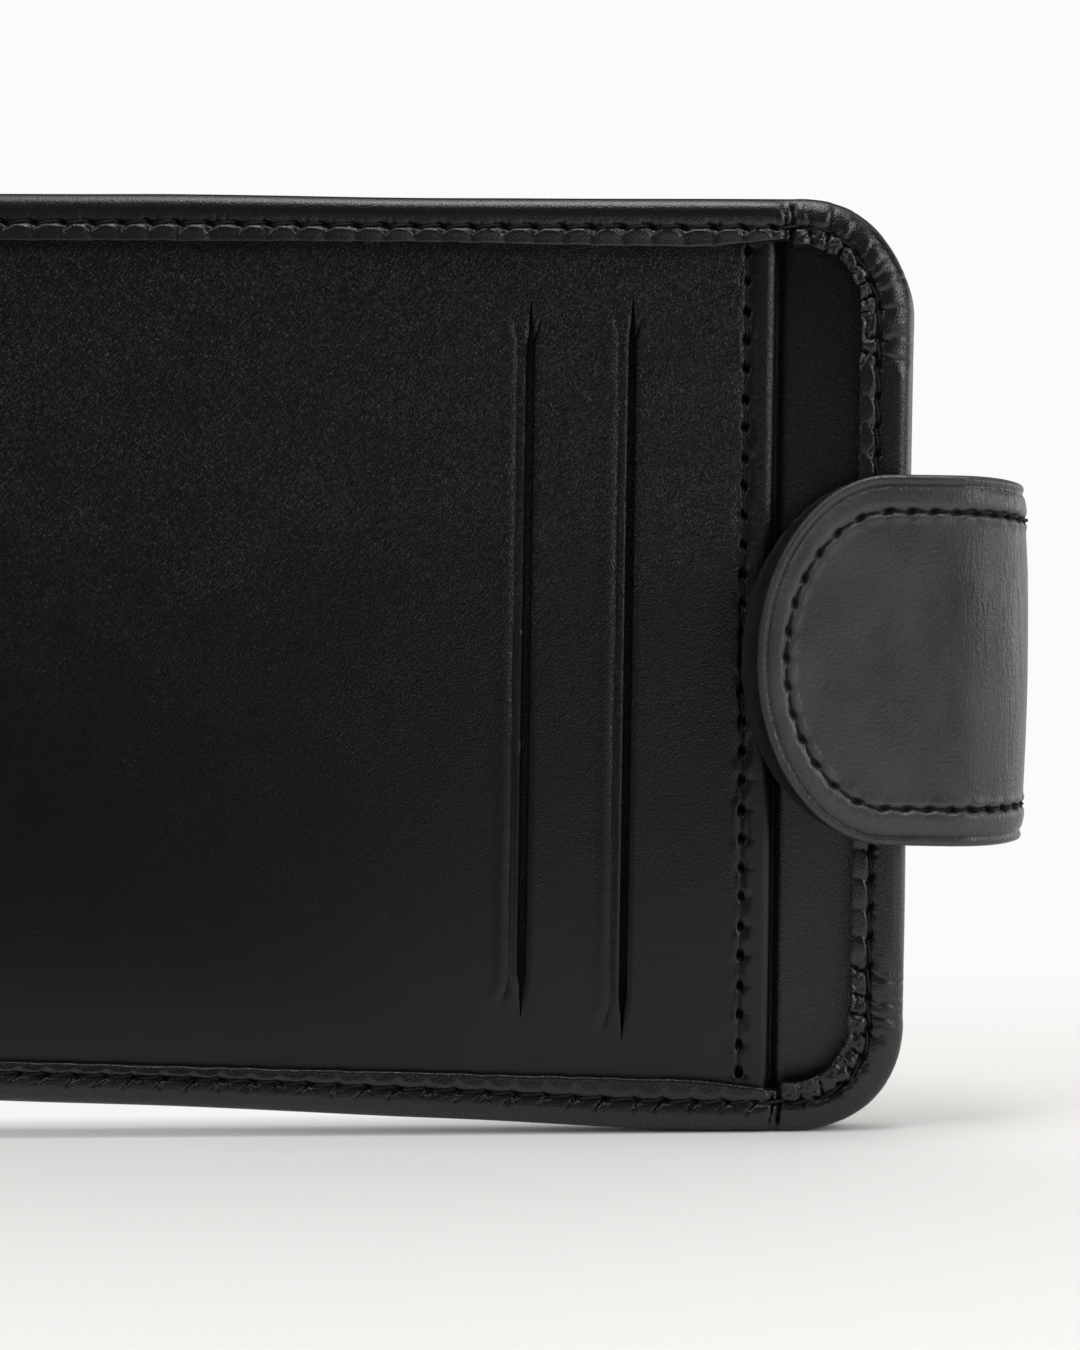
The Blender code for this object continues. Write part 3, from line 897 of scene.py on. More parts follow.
def pleat_relief(loop, inset):
    """The corner pleats: creases that run across the lip, with puffed wedges between them."""
    draw = np.random.default_rng(6)
    stitch = loop.stitch_inset[:, None]
    along = loop.along[:, None]
    from_line = inset - stitch
    inside = smoothstep(*pleat_side_rise, from_line)
    outside = 1.0 - inside
    total = np.zeros(inset.shape)
    for places in loop.pleats:
        for number, place in enumerate(places):
            way = loop.way_from(place)[:, None]
            tilt = draw.uniform(-0.35, 0.35)
            depth = draw.uniform(0.55, 1.15)
            reach = draw.uniform(*pleat_outer_reach)
            bow = draw.uniform(-1.0, 1.0) * pleat_bow
            away = way - tilt * from_line - bow * (from_line / stitch) ** 2 * outside
            outer = outside * smoothstep(reach, reach + pleat_outer_fade, inset)
            total -= depth * groove(away, pleat_width) * (pleat_depth * inside + pleat_outer_depth * outer)
            total += depth * mound(away, pleat_push) * outer
            if number == len(places) - 1:
                continue
            gap = places[number + 1] - place
            swell = np.clip(1.0 - np.abs(2.0 * way / gap - 1.0) ** 2.4, 0.0, 1.0)
            total += draw.uniform(0.4, 1.3) * pleat_pillow_height * swell * (inside + 0.35 * outside)
            away = loop.way_from(place + gap * draw.uniform(0.3, 0.7))[:, None]
            away = away - draw.uniform(-0.8, 0.8) * from_line
            reach = draw.uniform(*pleat_short_reach)
            short = outside * smoothstep(reach, reach + pleat_short_fade, inset) * draw.uniform(0.1, 0.6)
            total -= pleat_outer_depth * short * hump(away, pleat_width)
    off_outline = smoothstep(*crumple_rise, inset)
    crushed = np.abs(ripples(along + 0.4 * inset, inset, crumple_coarse))
    crushed = crumple_height * (crushed + np.abs(ripples(along - 0.7 * inset, inset, crumple_fine)) - 0.5)
    rays = ripples(along + 0.3 * inset, inset, ray_ripples) * outside * off_outline
    pushed = crushed * (inside + 0.2 * outside * off_outline) + rays
    seams = sum(seam_relief(past, strength, inset) for past, strength in zip(loop.past_seams, seam_strengths))
    return total * smoothstep(*pleat_outline_rise, inset) + pushed * loop.pleated[:, None] + seams


def seam_relief(past, strength, inset):
    """The two lines across the whole turned edge where a long side's end is laid over a corner's pleats."""
    away = past[:, None] + line_ripples(inset, *seam_ripples)
    lines = groove(away, seam_width) + 0.9 * groove(away - seam_gap, seam_width)
    step = seam_step * smoothstep(0.0, seam_gap, away) * hump(away, seam_step_reach)
    return (step - seam_depth * lines) * smoothstep(*seam_rise, inset) * strength


def lip_relief(loop, inset):
    """Heights on the front of the turned edge, for each sample and each inset from the outline."""
    number, share, nearest = within_stitches(loop.along, loop.holes, loop.length)
    nearest = nearest[:, None]
    draw = np.random.default_rng(7)

    def drawn(low, high):
        """A random value for each stitch, at its samples."""
        return draw.uniform(low, high, len(loop.holes))[number][:, None]

    strength = drawn(0.55, 1.25)
    sideways = drawn(-hole_wander, hole_wander)
    stitch = loop.stitch_inset[:, None]
    pleated = loop.pleated[:, None]
    straight = 1.0 - pleated
    from_line = inset - stitch
    valley = mound(from_line, stitch_valley) * (1.0 + 0.8 * pleated)
    holes = hole_depth * slanted_hole(nearest, sideways * 0.5 - from_line, *hole_form)
    holes = holes * (0.45 + 0.55 * straight)
    from_middle = np.abs(2.0 * share[:, None] - 1.0)
    arch = stitch + pillow_start + drawn(0.6, 1.4) * pillow_drop * from_middle**2.5
    rise = smoothstep(arch, arch + pillow_rise, inset)
    fall = 1.0 - 0.35 * smoothstep(arch + pillow_rise, loop.lip_width[:, None], inset)
    pillows = pillow_height * strength * straight * rise * fall * (1.0 - 0.65 * from_middle**3)
    creases = np.zeros(inset.shape)
    pulled = pull_crease_depth * raised(pull_crease_rise, pull_crease_fall, from_line)
    for _ in range(3):
        offset = drawn(-0.35, 0.35) * stitch_pitch
        creases += drawn(0.0, 1.0) * hump(nearest - offset + 0.3 * from_line, pull_crease_width) * pulled
    under = smoothstep(0.3, 1.0, -loop.outward[:, 1])[:, None] * straight
    for _ in range(2):
        offset = drawn(*crack_offsets)
        away = nearest - crack_slope * drawn(0.7, 1.4) * from_line - offset
        reach = crack_reach * drawn(0.5, 1.0)
        open_share = smoothstep(-1.0, -0.3, from_line / reach) * (1.0 - smoothstep(*crack_fall, from_line))
        creases += crack_depth * hump(away, crack_width) * open_share * under
    sunk = valley + holes * (1.0 - 0.5 * under) + creases
    return pillows * (1.0 - 0.35 * under) - sunk + pleat_relief(loop, inset)


def cover_section(loop):
    """The cover's section at every sample, from the back's middle round the edge to the lip and in behind it.

    Returns the insets, the depths from the front, how far each point may move along the inset and along the
    depth for one unit of relief, and which points are on the front lip.
    """
    roll_reach = roll_radius + (corner_roll_reach - roll_radius) * loop.pleated
    columns = []

    def add(inset, depth, outward=0.0, forward=0.0, lip=False):
        one = np.ones(len(loop.along))
        columns.append((inset * one, depth * one, outward, forward, lip))

    def add_roll(angle, reach, depth, towards, lip):
        sine, cosine = math.sin(angle), math.cos(angle)
        add(reach * (1 - sine), depth + towards * roll_radius * (1 - cosine), sine, towards * cosine, lip)

    back = body_thickness
    for share in (1.0, 0.72, 0.52):
        add(corner_radius * share, back, forward=-1.0)
    for offset in back_offsets:
        add(loop.stitch_inset + offset, back, forward=-1.0)
    for angle in np.radians(np.linspace(0, 90, 7)):
        add_roll(angle, roll_radius, back, -1.0, False)
    add(0.0, back / 2, outward=1.0)
    for angle in np.radians(np.linspace(90, 8, 14)):
        add_roll(angle, roll_reach, 0.0, 1.0, True)
    width = loop.lip_width - seam_narrowing * sum(
        np.where(past > 0, 1.0 - smoothstep(0.0, seam_narrowing_reach, past), 0.0) for past in loop.past_seams
    )
    for share in np.linspace(0.06, 1.0, 24):
        inset = roll_reach + (width - roll_reach) * share
        fall = smoothstep(0.0, 1.0, (inset - roll_reach) / (loop.stitch_inset - roll_reach))
        depth = stitch_line_sink * fall
        depth = depth + (lip_edge_sink - stitch_line_sink) * smoothstep(loop.stitch_inset, width, inset)
        add(inset, depth + edge_drop(width - inset, lip_edge_round), forward=1.0, lip=True)
    under = panel_low.y - body_front - panel_clearance
    for inset in (width, loop.stitch_inset, cover_thickness):
        add(inset, under)
    for inset in (cover_thickness, loop.stitch_inset, corner_radius):
        add(inset, back - cover_thickness)
    insets, depths, *rest = zip(*columns)
    return np.stack(insets, axis=1), np.stack(depths, axis=1), *(np.array(values)[None, :] for values in rest)


def back_relief(loop, inset):
    """The stitch line on the cover's back: a shallow valley with a hole between stitches."""
    nearest = within_stitches(loop.along, loop.holes, loop.length)[2]
    from_line = inset - loop.stitch_inset[:, None]
    holes = hole_depth * slanted_hole(nearest[:, None], from_line, *hole_form)
    return -back_depth_share * (mound(from_line, stitch_valley) + holes)


def cover(material):
    """The cover. Returns the samples round it and the places of its points, seen from the front."""
    loop = BodyLoop()
    inset, depth, outward, forward, lip = cover_section(loop)
    stitch = loop.stitch_inset[:, None]
    moving = np.abs(forward) + outward > 0
    back = np.where(forward < 0, back_relief(loop, inset), 0.0)
    relief = np.where(lip, lip_relief(loop, inset), back) * moving
    waves = ripples(loop.outline[:, 0], loop.outline[:, 1], edge_ripples)[:, None]
    lifted = relief + waves * moving
    inner_lip = smoothstep(*lip_scallop_rise, inset - stitch) * lip * (outward == 0)
    scallops = line_ripples(loop.along, *lip_scallops)[:, None]
    moved_inset = inset - outward * lifted + inner_lip * scallops * (0.25 + 0.75 * loop.pleated[:, None])
    moved_inset = np.where((inset > corner_radius * 0.999) & ~lip, corner_radius, moved_inset)
    worn = 1.0 - smoothstep(stitch, loop.lip_width[:, None], inset)
    moved_inset = moved_inset - loop.wander[:, None] * worn
    across = loop.outline[:, None, :] - loop.outward[:, None, :] * moved_inset[:, :, None]
    points = np.stack([across[..., 0], body_front + depth - forward * lifted, across[..., 1]], axis=-1)
    samples, columns = inset.shape
    first = np.arange(samples) * columns
    faces = grid_faces(samples, columns, closed=True).tolist()
    faces.append(first.tolist())
    faces.append((first[::-1] + columns - 1).tolist())
    # Creases count twice as deep in the relief share, which deepens the painted shade in them
    piece = new_piece("turned_edge_cover", points, faces, np.minimum(relief, 2.0 * relief))
    settle(piece, material, "cover_leather", ["back_cover"])
    return loop, points[..., 0::2].reshape(-1, 2)


def edge_stitches(loop, material):
    """The stitches round the body, on its front and on its back."""
    share, along = along_stitches(loop.holes, loop.length, 0.07, 0.93)

    def read(values):
        return np.interp(along, np.append(loop.along, loop.length), np.append(values, values[:1]))

    x, z = read(loop.outline[:, 0]), read(loop.outline[:, 1])
    out_x, out_z = read(loop.outward[:, 0]), read(loop.outward[:, 1])
    inset = read(loop.stitch_inset - loop.wander)
    lean = edge_thread_lean * np.cos(math.pi * share)[None, :]
    dive = thread_dive * (1.0 - thread_arch())[None, :]
    sides = (
        ("front", -1.0, body_front, front_thread_sink, ["edge_stitching"]),
        ("back", 1.0, body_front + body_thickness, back_thread_sink, []),
    )
    for side, facing, surface, sink, nodes in sides:
        way_in = inset + facing * lean
        depth = surface - facing * (sink + dive) + 0.0 * x
        centres = np.stack([x - out_x * way_in, depth, z - out_z * way_in], axis=-1)
        outward = np.zeros(centres.shape)
        outward[..., 1] = facing
        piece = threads(f"edge_stitches_{side}", centres, outward, thread_radius)
        settle(piece, material, "black_thread", nodes)


# The front panel and the sheets under it

def graded(low, high, places, finest, coarsest, growth):
    """Steps from low to high, finest at these places and wider with the distance from them."""
    marks = [low]
    while True:
        nearest = min(abs(marks[-1] - place) for place in places)
        step = min(coarsest, finest + growth * nearest)
        if marks[-1] + step * 1.4 > high:
            return np.array(marks + [high])
        marks.append(marks[-1] + step)


def between_corners(x, height, low, high, left_radius, right_radius):
    """Heights of a sheet's points, squeezed together where its round corners narrow it."""
    drop = edge_drop(x - low.x, left_radius) + edge_drop(high.x - x, right_radius)
    middle = (low.z + high.z) / 2
    half = (high.z - low.z) / 2
    return middle + (height - middle) * (half - drop) / half


def panel_place(along, height, sunk):
    """Points of the panel from a way along its path, which turns back at the fold, and a depth."""
    turn = np.clip((along - fold_x) / fold_radius, 0.0, math.pi)
    past = np.maximum(along - fold_x - math.pi * fold_radius, 0.0)
    x = np.minimum(along, fold_x) + (fold_radius - sunk) * np.sin(turn) - past
    lean = fold_lean * (1.0 - smoothstep(*fold_lean_fall, height)) * smoothstep(*fold_lean_rise, x)
    y = panel_low.y + fold_radius - (fold_radius - sunk) * np.cos(turn)
    level = between_corners(x, height, panel_low, panel_high, hidden_corner_radius, 0.0)
    return np.stack([x + lean, y, level], axis=-1)


def slit_opening(height, low, high):
    """Half of a slit's width at each height, which is nothing at its ends."""
    share = np.clip((height - low) / (high - low), 0.0, 1.0)
    from_end = np.minimum(share, 1.0 - share) * (high - low)
    return slit_half_width * np.clip(from_end / slit_taper, 0.0, 1.0) ** 0.7


def rise_from_ends(height, low, high, rise):
    """1 along a slit, with this rise at each of its ends."""
    near, far = rise
    return raised((low + near, low + far), (high - far, high - near), height)


def slit_relief(along, height, slit, seed):
    """The lip, crease and swelling beside one slit, and the lower leather on its far side."""
    x, low, high = slit
    place = along - x
    half = slit_opening(height, low, high)
    opening = rise_from_ends(height, low, high, (slit_closed_end, slit_taper))
    drift = 1.0 + line_ripples(height, 0.45, slit_ripple_size, seed)
    before = np.maximum(-place - half, 0.0)
    after = np.maximum(place - half, 0.0)
    lip = slit_lip_height * drift * (1.0 - smoothstep(*slit_lip_fall, before))
    lip = lip - edge_drop(before, slit_lip_round)
    sink = slit_far_sink * (1.0 - smoothstep(0.0, slit_far_reach, after)) + edge_drop(after, slit_far_round)
    offset = crease_offset_top + (crease_offset - crease_offset_top) * opening
    beyond = place + offset + line_ripples(height, *crease_ripples, seed + 1)
    crease = mound(beyond, crease_swell) - crease_depth * drift * groove(beyond, crease_width)
    beside = mound(place, wrinkles_near) + mound(place, wrinkles_far) * smoothstep(*wrinkles_far_rise, height)
    crease = crease + ripples(height, place, (*slit_wrinkles, seed + 2)) * beside
    crease = crease * rise_from_ends(height, low, high, crease_ends)
    return opening * np.where(place <= 0, lip, -sink) + crease


def tongue_relief(along, height, slit):
    """The small loose tongue beside a slit's top end: a second cut that runs down into the opening."""
    share = (slit[2] - height - tongue_start) / (tongue_end - tongue_start)
    offset = tongue_offset * (1.0 - np.clip(share, 0.0, 1.0)) + slit_half_width
    inside = raised((0.0, 0.1), (0.92, 1.0), share)
    return -tongue_depth * hump(along - slit[0] - offset, tongue_width) * inside


def hem_holes():
    """Heights of the hem's stitch holes."""
    return hem_thread_low.z + even_holes(hem_length, hem_stitch_pitch, hem_stitch_jitter, 30)


def hem_relief(along, height):
    """The valley and holes of the hem's stitches, with short pull marks beside the holes."""
    holes = hem_holes()
    up = height - holes[0]
    place = np.clip(up, 0.0, hem_length - place_nudge)
    number, _, nearest = within_stitches(place, holes - holes[0], hem_length)
    away = along - hem_x
    depth = hem_hole_depth * np.random.default_rng(31).uniform(0.75, 1.2, len(holes))[number]
    sunk = mound(away, hem_valley) + mound(away, hem_pull) * hump(nearest, hem_pull_width)
    sunk = sunk + depth * hump(nearest, hem_hole_length) * hump(away, hem_hole_width)
    side = mound(np.abs(away), hem_swell) * ripples(height, away, hem_swell_ripples)
    return (side - sunk) * ((up > -hem_end_reach) & (up < hem_length + hem_end_reach))


def front_panel(material):
    slits = [(body_right - inset, low, high) for inset, low, high in slits_from_right]
    turned = fold_x + np.linspace(0.0, math.pi * fold_radius, 19)[1:]
    back = np.linspace(turned[-1], turned[-1] + hem_width - fold_radius, 6)[1:]
    finest = [slit[0] for slit in slits] + [slit[0] - crease_offset for slit in slits] + [hem_x]
    starts = [panel_low.x] + [slit[0] + slit_half_width for slit in slits]
    stops = [slit[0] - slit_half_width for slit in slits] + [fold_x]
    runs = [graded(start, stop, finest, *panel_steps) for start, stop in zip(starts, stops)]
    columns = np.concatenate(runs + [turned, back])
    gap_edges = np.cumsum([len(run) for run in runs[:-1]]) - 1
    heights = np.linspace(panel_low.z, panel_high.z, round((panel_high.z - panel_low.z) / fine_step) + 1)
    along, height = np.meshgrid(columns, heights)
    numbers = np.arange(along.size).reshape(along.shape)
    for edge, slit in zip(gap_edges, slits):
        half = slit_opening(heights, *slit[1:])
        along[:, edge] = slit[0] - half
        along[:, edge + 1] = slit[0] + half
        numbers[:, edge + 1] = np.where(half > 0, numbers[:, edge + 1], numbers[:, edge])
    relief = hem_relief(along, height)
    for number, slit in enumerate(slits):
        relief = relief + slit_relief(along, height, slit, 40 + 10 * number)
        relief = relief + tongue_relief(along, height, slit)
    at_fold = smoothstep(fold_x - fold_wrinkle_reach, fold_x, along) * smoothstep(*fold_wrinkle_rise, height)
    relief = relief + ripples(height, along, fold_wrinkles) * at_fold
    from_lip = np.minimum(height - lip_width_long, body_height - lip_width_long - height)
    free = smoothstep(0.0, panel_ripple_fade, np.minimum(from_lip, along - body_left - lip_width_ends))
    waves = ripples(along, height, panel_ripples) * free
    pad_start = hem_x + fold_pad_start
    pad_share = np.clip((along - pad_start) / (fold_x + fold_pad_end - pad_start), 0.0, 1.0)
    pad = fold_pad * (1.0 - (2.0 * pad_share - 1.0) ** 2)
    rounding = fold_rounding * raised(fold_round_rise, fold_round_fall, along)
    outer = panel_place(along, height, rounding - relief - waves - pad)
    inner = panel_place(along, height, panel_thickness)
    faces = grid_faces(*along.shape)
    kept = faces[~np.isin(faces[:, 0] % len(columns), gap_edges)]
    piece = solid_sheet("slit_front_panel", outer, inner, numbers.reshape(-1)[kept], relief)
    settle(piece, material, "panel_leather", ["front_panel"])


def hem_stitches(material):
    share, height = along_stitches(hem_holes(), hem_holes()[0] + hem_length, 0.08, 0.92)
    lean = hem_thread_lean * np.cos(math.pi * share)[None, :]
    depth = (hem_valley[0] * 0.7 + thread_dive * 0.8 * (1.0 - thread_arch()))[None, :]
    centres = panel_place(hem_x + lean + 0.0 * height, height, depth + 0.0 * height)
    outward = np.zeros(centres.shape)
    outward[..., 1] = -1.0
    piece = threads("hem_stitches", centres, outward, hem_thread_radius)
    settle(piece, material, "black_thread", ["hem_stitching"])


def flat_sheet(name, node, waves, right_radius, dip=0.0):
    """A thin, gently wavy sheet in the place of a flat solid, with its corners rounded.

    The dip is the depth of the hollow that the folded edge has pressed into it.
    """
    low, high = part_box(node)
    across = graded(low.x, high.x, [panel_high.x], fine_step, sheet_step, sheet_growth)
    x, z = np.meshgrid(across, np.linspace(low.z, high.z, round((high.z - low.z) / sheet_step) + 1))
    z = between_corners(x, z, low, high, hidden_corner_radius, right_radius)
    lift = ripples(x, z, waves)
    lean = fold_lean * (1.0 - smoothstep(*fold_lean_fall, z))
    hollow = dip * hump(x - panel_high.x - lean, fold_dip_reach)
    outer = np.stack([x, low.y + lift + hollow, z], axis=-1)
    inner = np.stack([x, high.y + lift, z], axis=-1)
    return solid_sheet(name, outer, inner, grid_faces(*x.shape), lift)


def inner_layers(panel_material, lining_material):
    """The panel that shows beside the fold, and the two pocket linings."""
    piece = flat_sheet("base_panel_leather", "base_panel", base_panel_ripples, hidden_corner_radius, fold_dip)
    settle(piece, panel_material, "panel_leather", ["base_panel"])
    for side, waves in (("left", left_lining_ripples), ("right", right_lining_ripples)):
        node = f"{side}_pocket_lining"
        piece = flat_sheet(f"{side}_lining_cloth", node, waves, 0.0)
        settle(piece, lining_material, "lining_fabric", [node])


# The strap

def strap_place(unrolled, height, sunk):
    """Points of the strap from unrolled places, 0 where the bend starts in front and negative to the tip.

    Returns the points, at a depth below the outer face, and the way outwards there.
    """
    turn = np.clip(unrolled / bend_radius, 0.0, math.pi)
    past = np.maximum(unrolled - bend_length, 0.0)
    radius = bend_radius - sunk
    x = bend_x + np.minimum(unrolled, 0.0) - past + radius * np.sin(turn)
    rise = strap_rise * (1.0 - smoothstep(0.0, strap_rise_reach, unrolled - bend_length))
    points = np.stack([x, -radius * np.cos(turn), middle_z + height + rise], axis=-1)
    return points, np.stack([np.sin(turn), -np.cos(turn), 0.0 * turn], axis=-1)


class StrapRows:
    """Rows of one stretch of a strap leather, each from a point on its edge straight in to its middle line.

    Every row has its edge point and the way inwards, both unrolled, where it ends on the middle line, and how
    much it belongs to a rounded end. Once they are closed, each also has how far along the stitches it is.
    """

    def __init__(self, half_width):
        self.half_width = half_width
        self.rows = []
        self.break_row = None

    def add_straight(self, start, stop, side):
        """Rows on one side of the strap, between two unrolled places."""
        for place in np.linspace(start, stop, max(2, round(abs(stop - start) / strap_step) + 1)):
            apart = (place - bend_length / 2) / bend_narrowing_reach
            width = self.half_width - bend_narrowing * math.exp(-(apart**2))
            self.rows.append(((place, side * width), (0.0, -side), (place, 0.0), 0.0))

    def add_round(self, centre, length, facing):
        """Rows round a half-elliptic end. The facing is -1 for the tip and 1 for the base."""
        width = self.half_width
        fine = np.linspace(math.pi / 2, -math.pi / 2, 721)
        size = np.hypot(np.cos(fine) / length, np.sin(fine) / width)
        line_x = length * np.cos(fine) - strap_stitch_inset_side * np.cos(fine) / length / size
        line_z = width * np.sin(fine) - strap_stitch_inset_side * np.sin(fine) / width / size
        travelled = np.concatenate([[0.0], np.cumsum(np.hypot(np.diff(line_x), np.diff(line_z)))])
        half_count = round(travelled[-1] / 2 / strap_step)
        for step in range(1, 2 * half_count):
            angle = np.interp(travelled[-1] * step / (2 * half_count), travelled, fine)
            if step == half_count:
                angle = 0.0
            away = math.cos(angle)
            edge = (centre + facing * length * away, width * math.sin(angle))
            inward = tuple(unit(np.array([-facing * away / length, -math.sin(angle) / width])))
            self.rows.append((edge, inward, (centre + facing * length * away * spine_share, 0.0), away**2))

    def close(self):
        self.edges, self.inwards, self.middles, self.at_end = (np.array(part) for part in zip(*self.rows))
        inset_change = strap_stitch_inset_end - strap_stitch_inset_side
        self.inset = strap_stitch_inset_side + inset_change * self.at_end
        steps = np.hypot(*np.diff(self.edges + self.inwards * self.inset[:, None], axis=0).T)
        if self.break_row is not None:
            steps[self.break_row] = row_gap
        self.along = np.concatenate([[0.0], np.cumsum(steps)])
        return self


def end_stretch(half_width, centre, length, facing):
    """The rows of the strap's tip or base: out along the top, round the end and back along the bottom."""
    seam = 0.0 if facing < 0 else bend_length
    rows = StrapRows(half_width)
    rows.add_straight(seam, centre, 1.0)
    rows.add_round(centre, length, facing)
    rows.add_straight(centre, seam, -1.0)
    return rows.close()


def bend_stretch(half_width, number):
    """The rows of one piece of the bend, counted from the front: first its top half, then its bottom half."""
    size = bend_length / bend_pieces
    rows = StrapRows(half_width)
    rows.add_straight(number * size, (number + 1) * size, 1.0)
    rows.break_row = len(rows.rows) - 1
    rows.add_straight((number + 1) * size, number * size, -1.0)
    return rows.close()


def crossing(number):
    """Where a piece of the bend starts and ends to turn from its first body to its second."""
    angle = math.pi * (number + 0.5) / bend_pieces
    hinge = Vector((bend_x + blend_radius * math.sin(angle), -blend_radius * math.cos(angle), middle_z))
    onward = Vector((math.cos(angle), math.sin(angle), 0.0)) * blend_reach
    return hinge - onward, hinge + onward


def strap_stretches(half_width, extra_length):
    """Each stretch of one strap leather: its name, its bodies, its hinge crossing and its rows."""
    tip_centre = strap_tip_low.x + tip_end_length - bend_x
    base_centre = bend_length + bend_x - (strap_base_low.x + base_end_length)
    tip_rows = end_stretch(half_width, tip_centre, tip_end_length + extra_length, -1.0)
    yield "tip", ("strap_tip",), None, tip_rows
    bodies = ("strap_tip", "strap_bend_3", "strap_bend_2", "strap_bend_1", "wallet_body")
    for number in range(bend_pieces):
        name = f"bend_{bend_pieces - number}"
        yield name, bodies[number : number + 2], crossing(number), bend_stretch(half_width, number)
    base_rows = end_stretch(half_width, base_centre, base_end_length + extra_length, 1.0)
    yield "base", ("wallet_body",), None, base_rows


def strap_grid(rows):
    """Unrolled places and distances from the edge, as arrays of rows and columns."""
    near = graded(0.0, strap_border_zone, [0.0, strap_stitch_inset_side], *strap_border_steps)
    shift = (rows.inset - strap_stitch_inset_side)[:, None]
    near = near[None, :] + shift * smoothstep(0.0, strap_stitch_inset_side, near)[None, :]
    border = rows.edges[:, None, :] + rows.inwards[:, None, :] * near[:, :, None]
    shares = np.linspace(0.0, 1.0, strap_inner_columns + 1)[1:]
    last = border[:, -1:, :]
    way = rows.middles[:, None, :] - last
    distance = near[:, -1:] + np.linalg.norm(way, axis=2) * shares[None, :]
    places = np.concatenate([border, last + way * shares[None, :, None]], axis=1)
    return places[..., 0], places[..., 1], np.concatenate([near, distance], axis=1)


def stretch_holes(rows):
    """Places of the stitch holes along a stretch, with one at each end of every straight part."""
    if rows.break_row is not None:
        half = rows.along[rows.break_row]
        holes = even_holes(half, strap_stitch_pitch, 0.0, 80)
        return np.concatenate([holes, holes + half])
    curved = rows.along[rows.at_end > 0]
    start, stop = curved[0], curved[-1]
    first = even_holes(start, strap_stitch_pitch, strap_stitch_jitter, 81)
    middle = even_holes(stop - start, strap_end_stitch_pitch, strap_end_stitch_jitter, 82)
    last = even_holes(rows.along[-1] - stop, strap_stitch_pitch, strap_stitch_jitter, 83)
    return np.concatenate([first, start + middle, stop + last])


def strap_dent(unrolled, height):
    """A soft slanting dent in the front of the strap: 1 in its middle, 0 away from it."""
    way_along = strap_dent_end[0] - strap_dent_start[0]
    way_up = strap_dent_end[1] - strap_dent_start[1]
    length = math.hypot(way_along, way_up)
    x = unrolled - strap_dent_start[0]
    z = height - strap_dent_start[1]
    along = (x * way_along + z * way_up) / length
    across = (x * way_up - z * way_along) / length
    past = np.maximum(np.maximum(-along, along - length), 0.0)
    return hump(across, strap_dent_reach) * hump(past, strap_dent_reach)


def strap_shape(unrolled, height, distance, rows):
    """The broad shape of the outer leather: its rounded edge, the swell of its bend, waves and a dent."""
    inside = smoothstep(*strap_inner_rise, distance - rows.inset[:, None])
    from_middle = height / rows.half_width
    swell = bend_bulge * (1.0 - 2.0 * from_middle**2 - np.maximum(from_middle, 0.0))
    swell = swell * raised(bend_rise, bend_fall, unrolled)
    soft = ripples(unrolled, height, strap_ripples) - strap_dent_depth * strap_dent(unrolled, height)
    return swell - edge_drop(distance, strap_edge_round) + soft * inside


def strap_surface(unrolled, height, distance, rows, holes):
    """The fine relief of the strap's outer leather: its border, stitches with their pulls, and creases."""
    _, share, nearest = within_stitches(rows.along, holes, rows.along[-1] + place_nudge)
    nearest = nearest[:, None]
    from_line = distance - rows.inset[:, None]
    crown = np.clip((distance - strap_rim_groove) / (rows.inset[:, None] - strap_rim_groove), 0.0, 1.0)
    arch = np.clip(1.0 - (2.0 * share[:, None] - 1.0) ** 2, 0.0, 1.0)
    pull = hump(nearest, strap_pull_width) * smoothstep(*strap_pull_rise, from_line) * (from_line < 0)
    relief = strap_crown * np.sin(math.pi * crown**1.4)
    relief = relief - strap_rim_groove_depth * hump(distance - strap_rim_groove, strap_rim_groove_width)
    relief = relief - mound(from_line, strap_valley) + arch * mound(from_line, strap_mound)
    relief = relief - strap_hole_depth * slanted_hole(nearest, from_line, *strap_hole_form)
    relief = relief - strap_pull_height * pull
    inside = smoothstep(*strap_inner_rise, from_line)
    bent = raised(bend_rise, bend_fall, unrolled)
    creases = ripples(unrolled, height, strap_wrinkles) + ripples(unrolled, height, strap_small_wrinkles)
    relief = relief - strap_wrinkle_height * np.abs(creases) ** 0.7 * (0.12 + bent) * (0.15 + 0.85 * inside)
    fine = ripples(unrolled, height, strap_border_ripples)
    return relief + fine * (1.0 - inside) * (1.0 - bent)


def lining_surface(unrolled, height, distance):
    """The relief of the strap's backing leather: raw and uneven along its edge."""
    rough = ripples(unrolled, height, lining_grains) + ripples(unrolled, height, lining_lumps)
    return rough * (1.0 - smoothstep(*lining_rough_fall, distance)) - edge_drop(distance, lining_edge_round)


def strap_stitches(name, rows, holes):
    """The threads of one stretch of the strap."""
    share, along = along_stitches(holes, rows.along[-1], 0.16, 0.97)

    def read(values):
        return np.interp(along, rows.along, values)

    inset = read(rows.inset) - strap_thread_lean * (share - 0.5)[None, :]
    unrolled = read(rows.edges[:, 0]) + read(rows.inwards[:, 0]) * inset
    height = read(rows.edges[:, 1]) + read(rows.inwards[:, 1]) * inset
    sunk = strap_valley[0] * 0.8 + thread_dive * (1.0 - thread_arch())[None, :]
    centres, outward = strap_place(unrolled, height, sunk)
    return threads(f"strap_stitches_{name}", centres, outward, thread_radius)


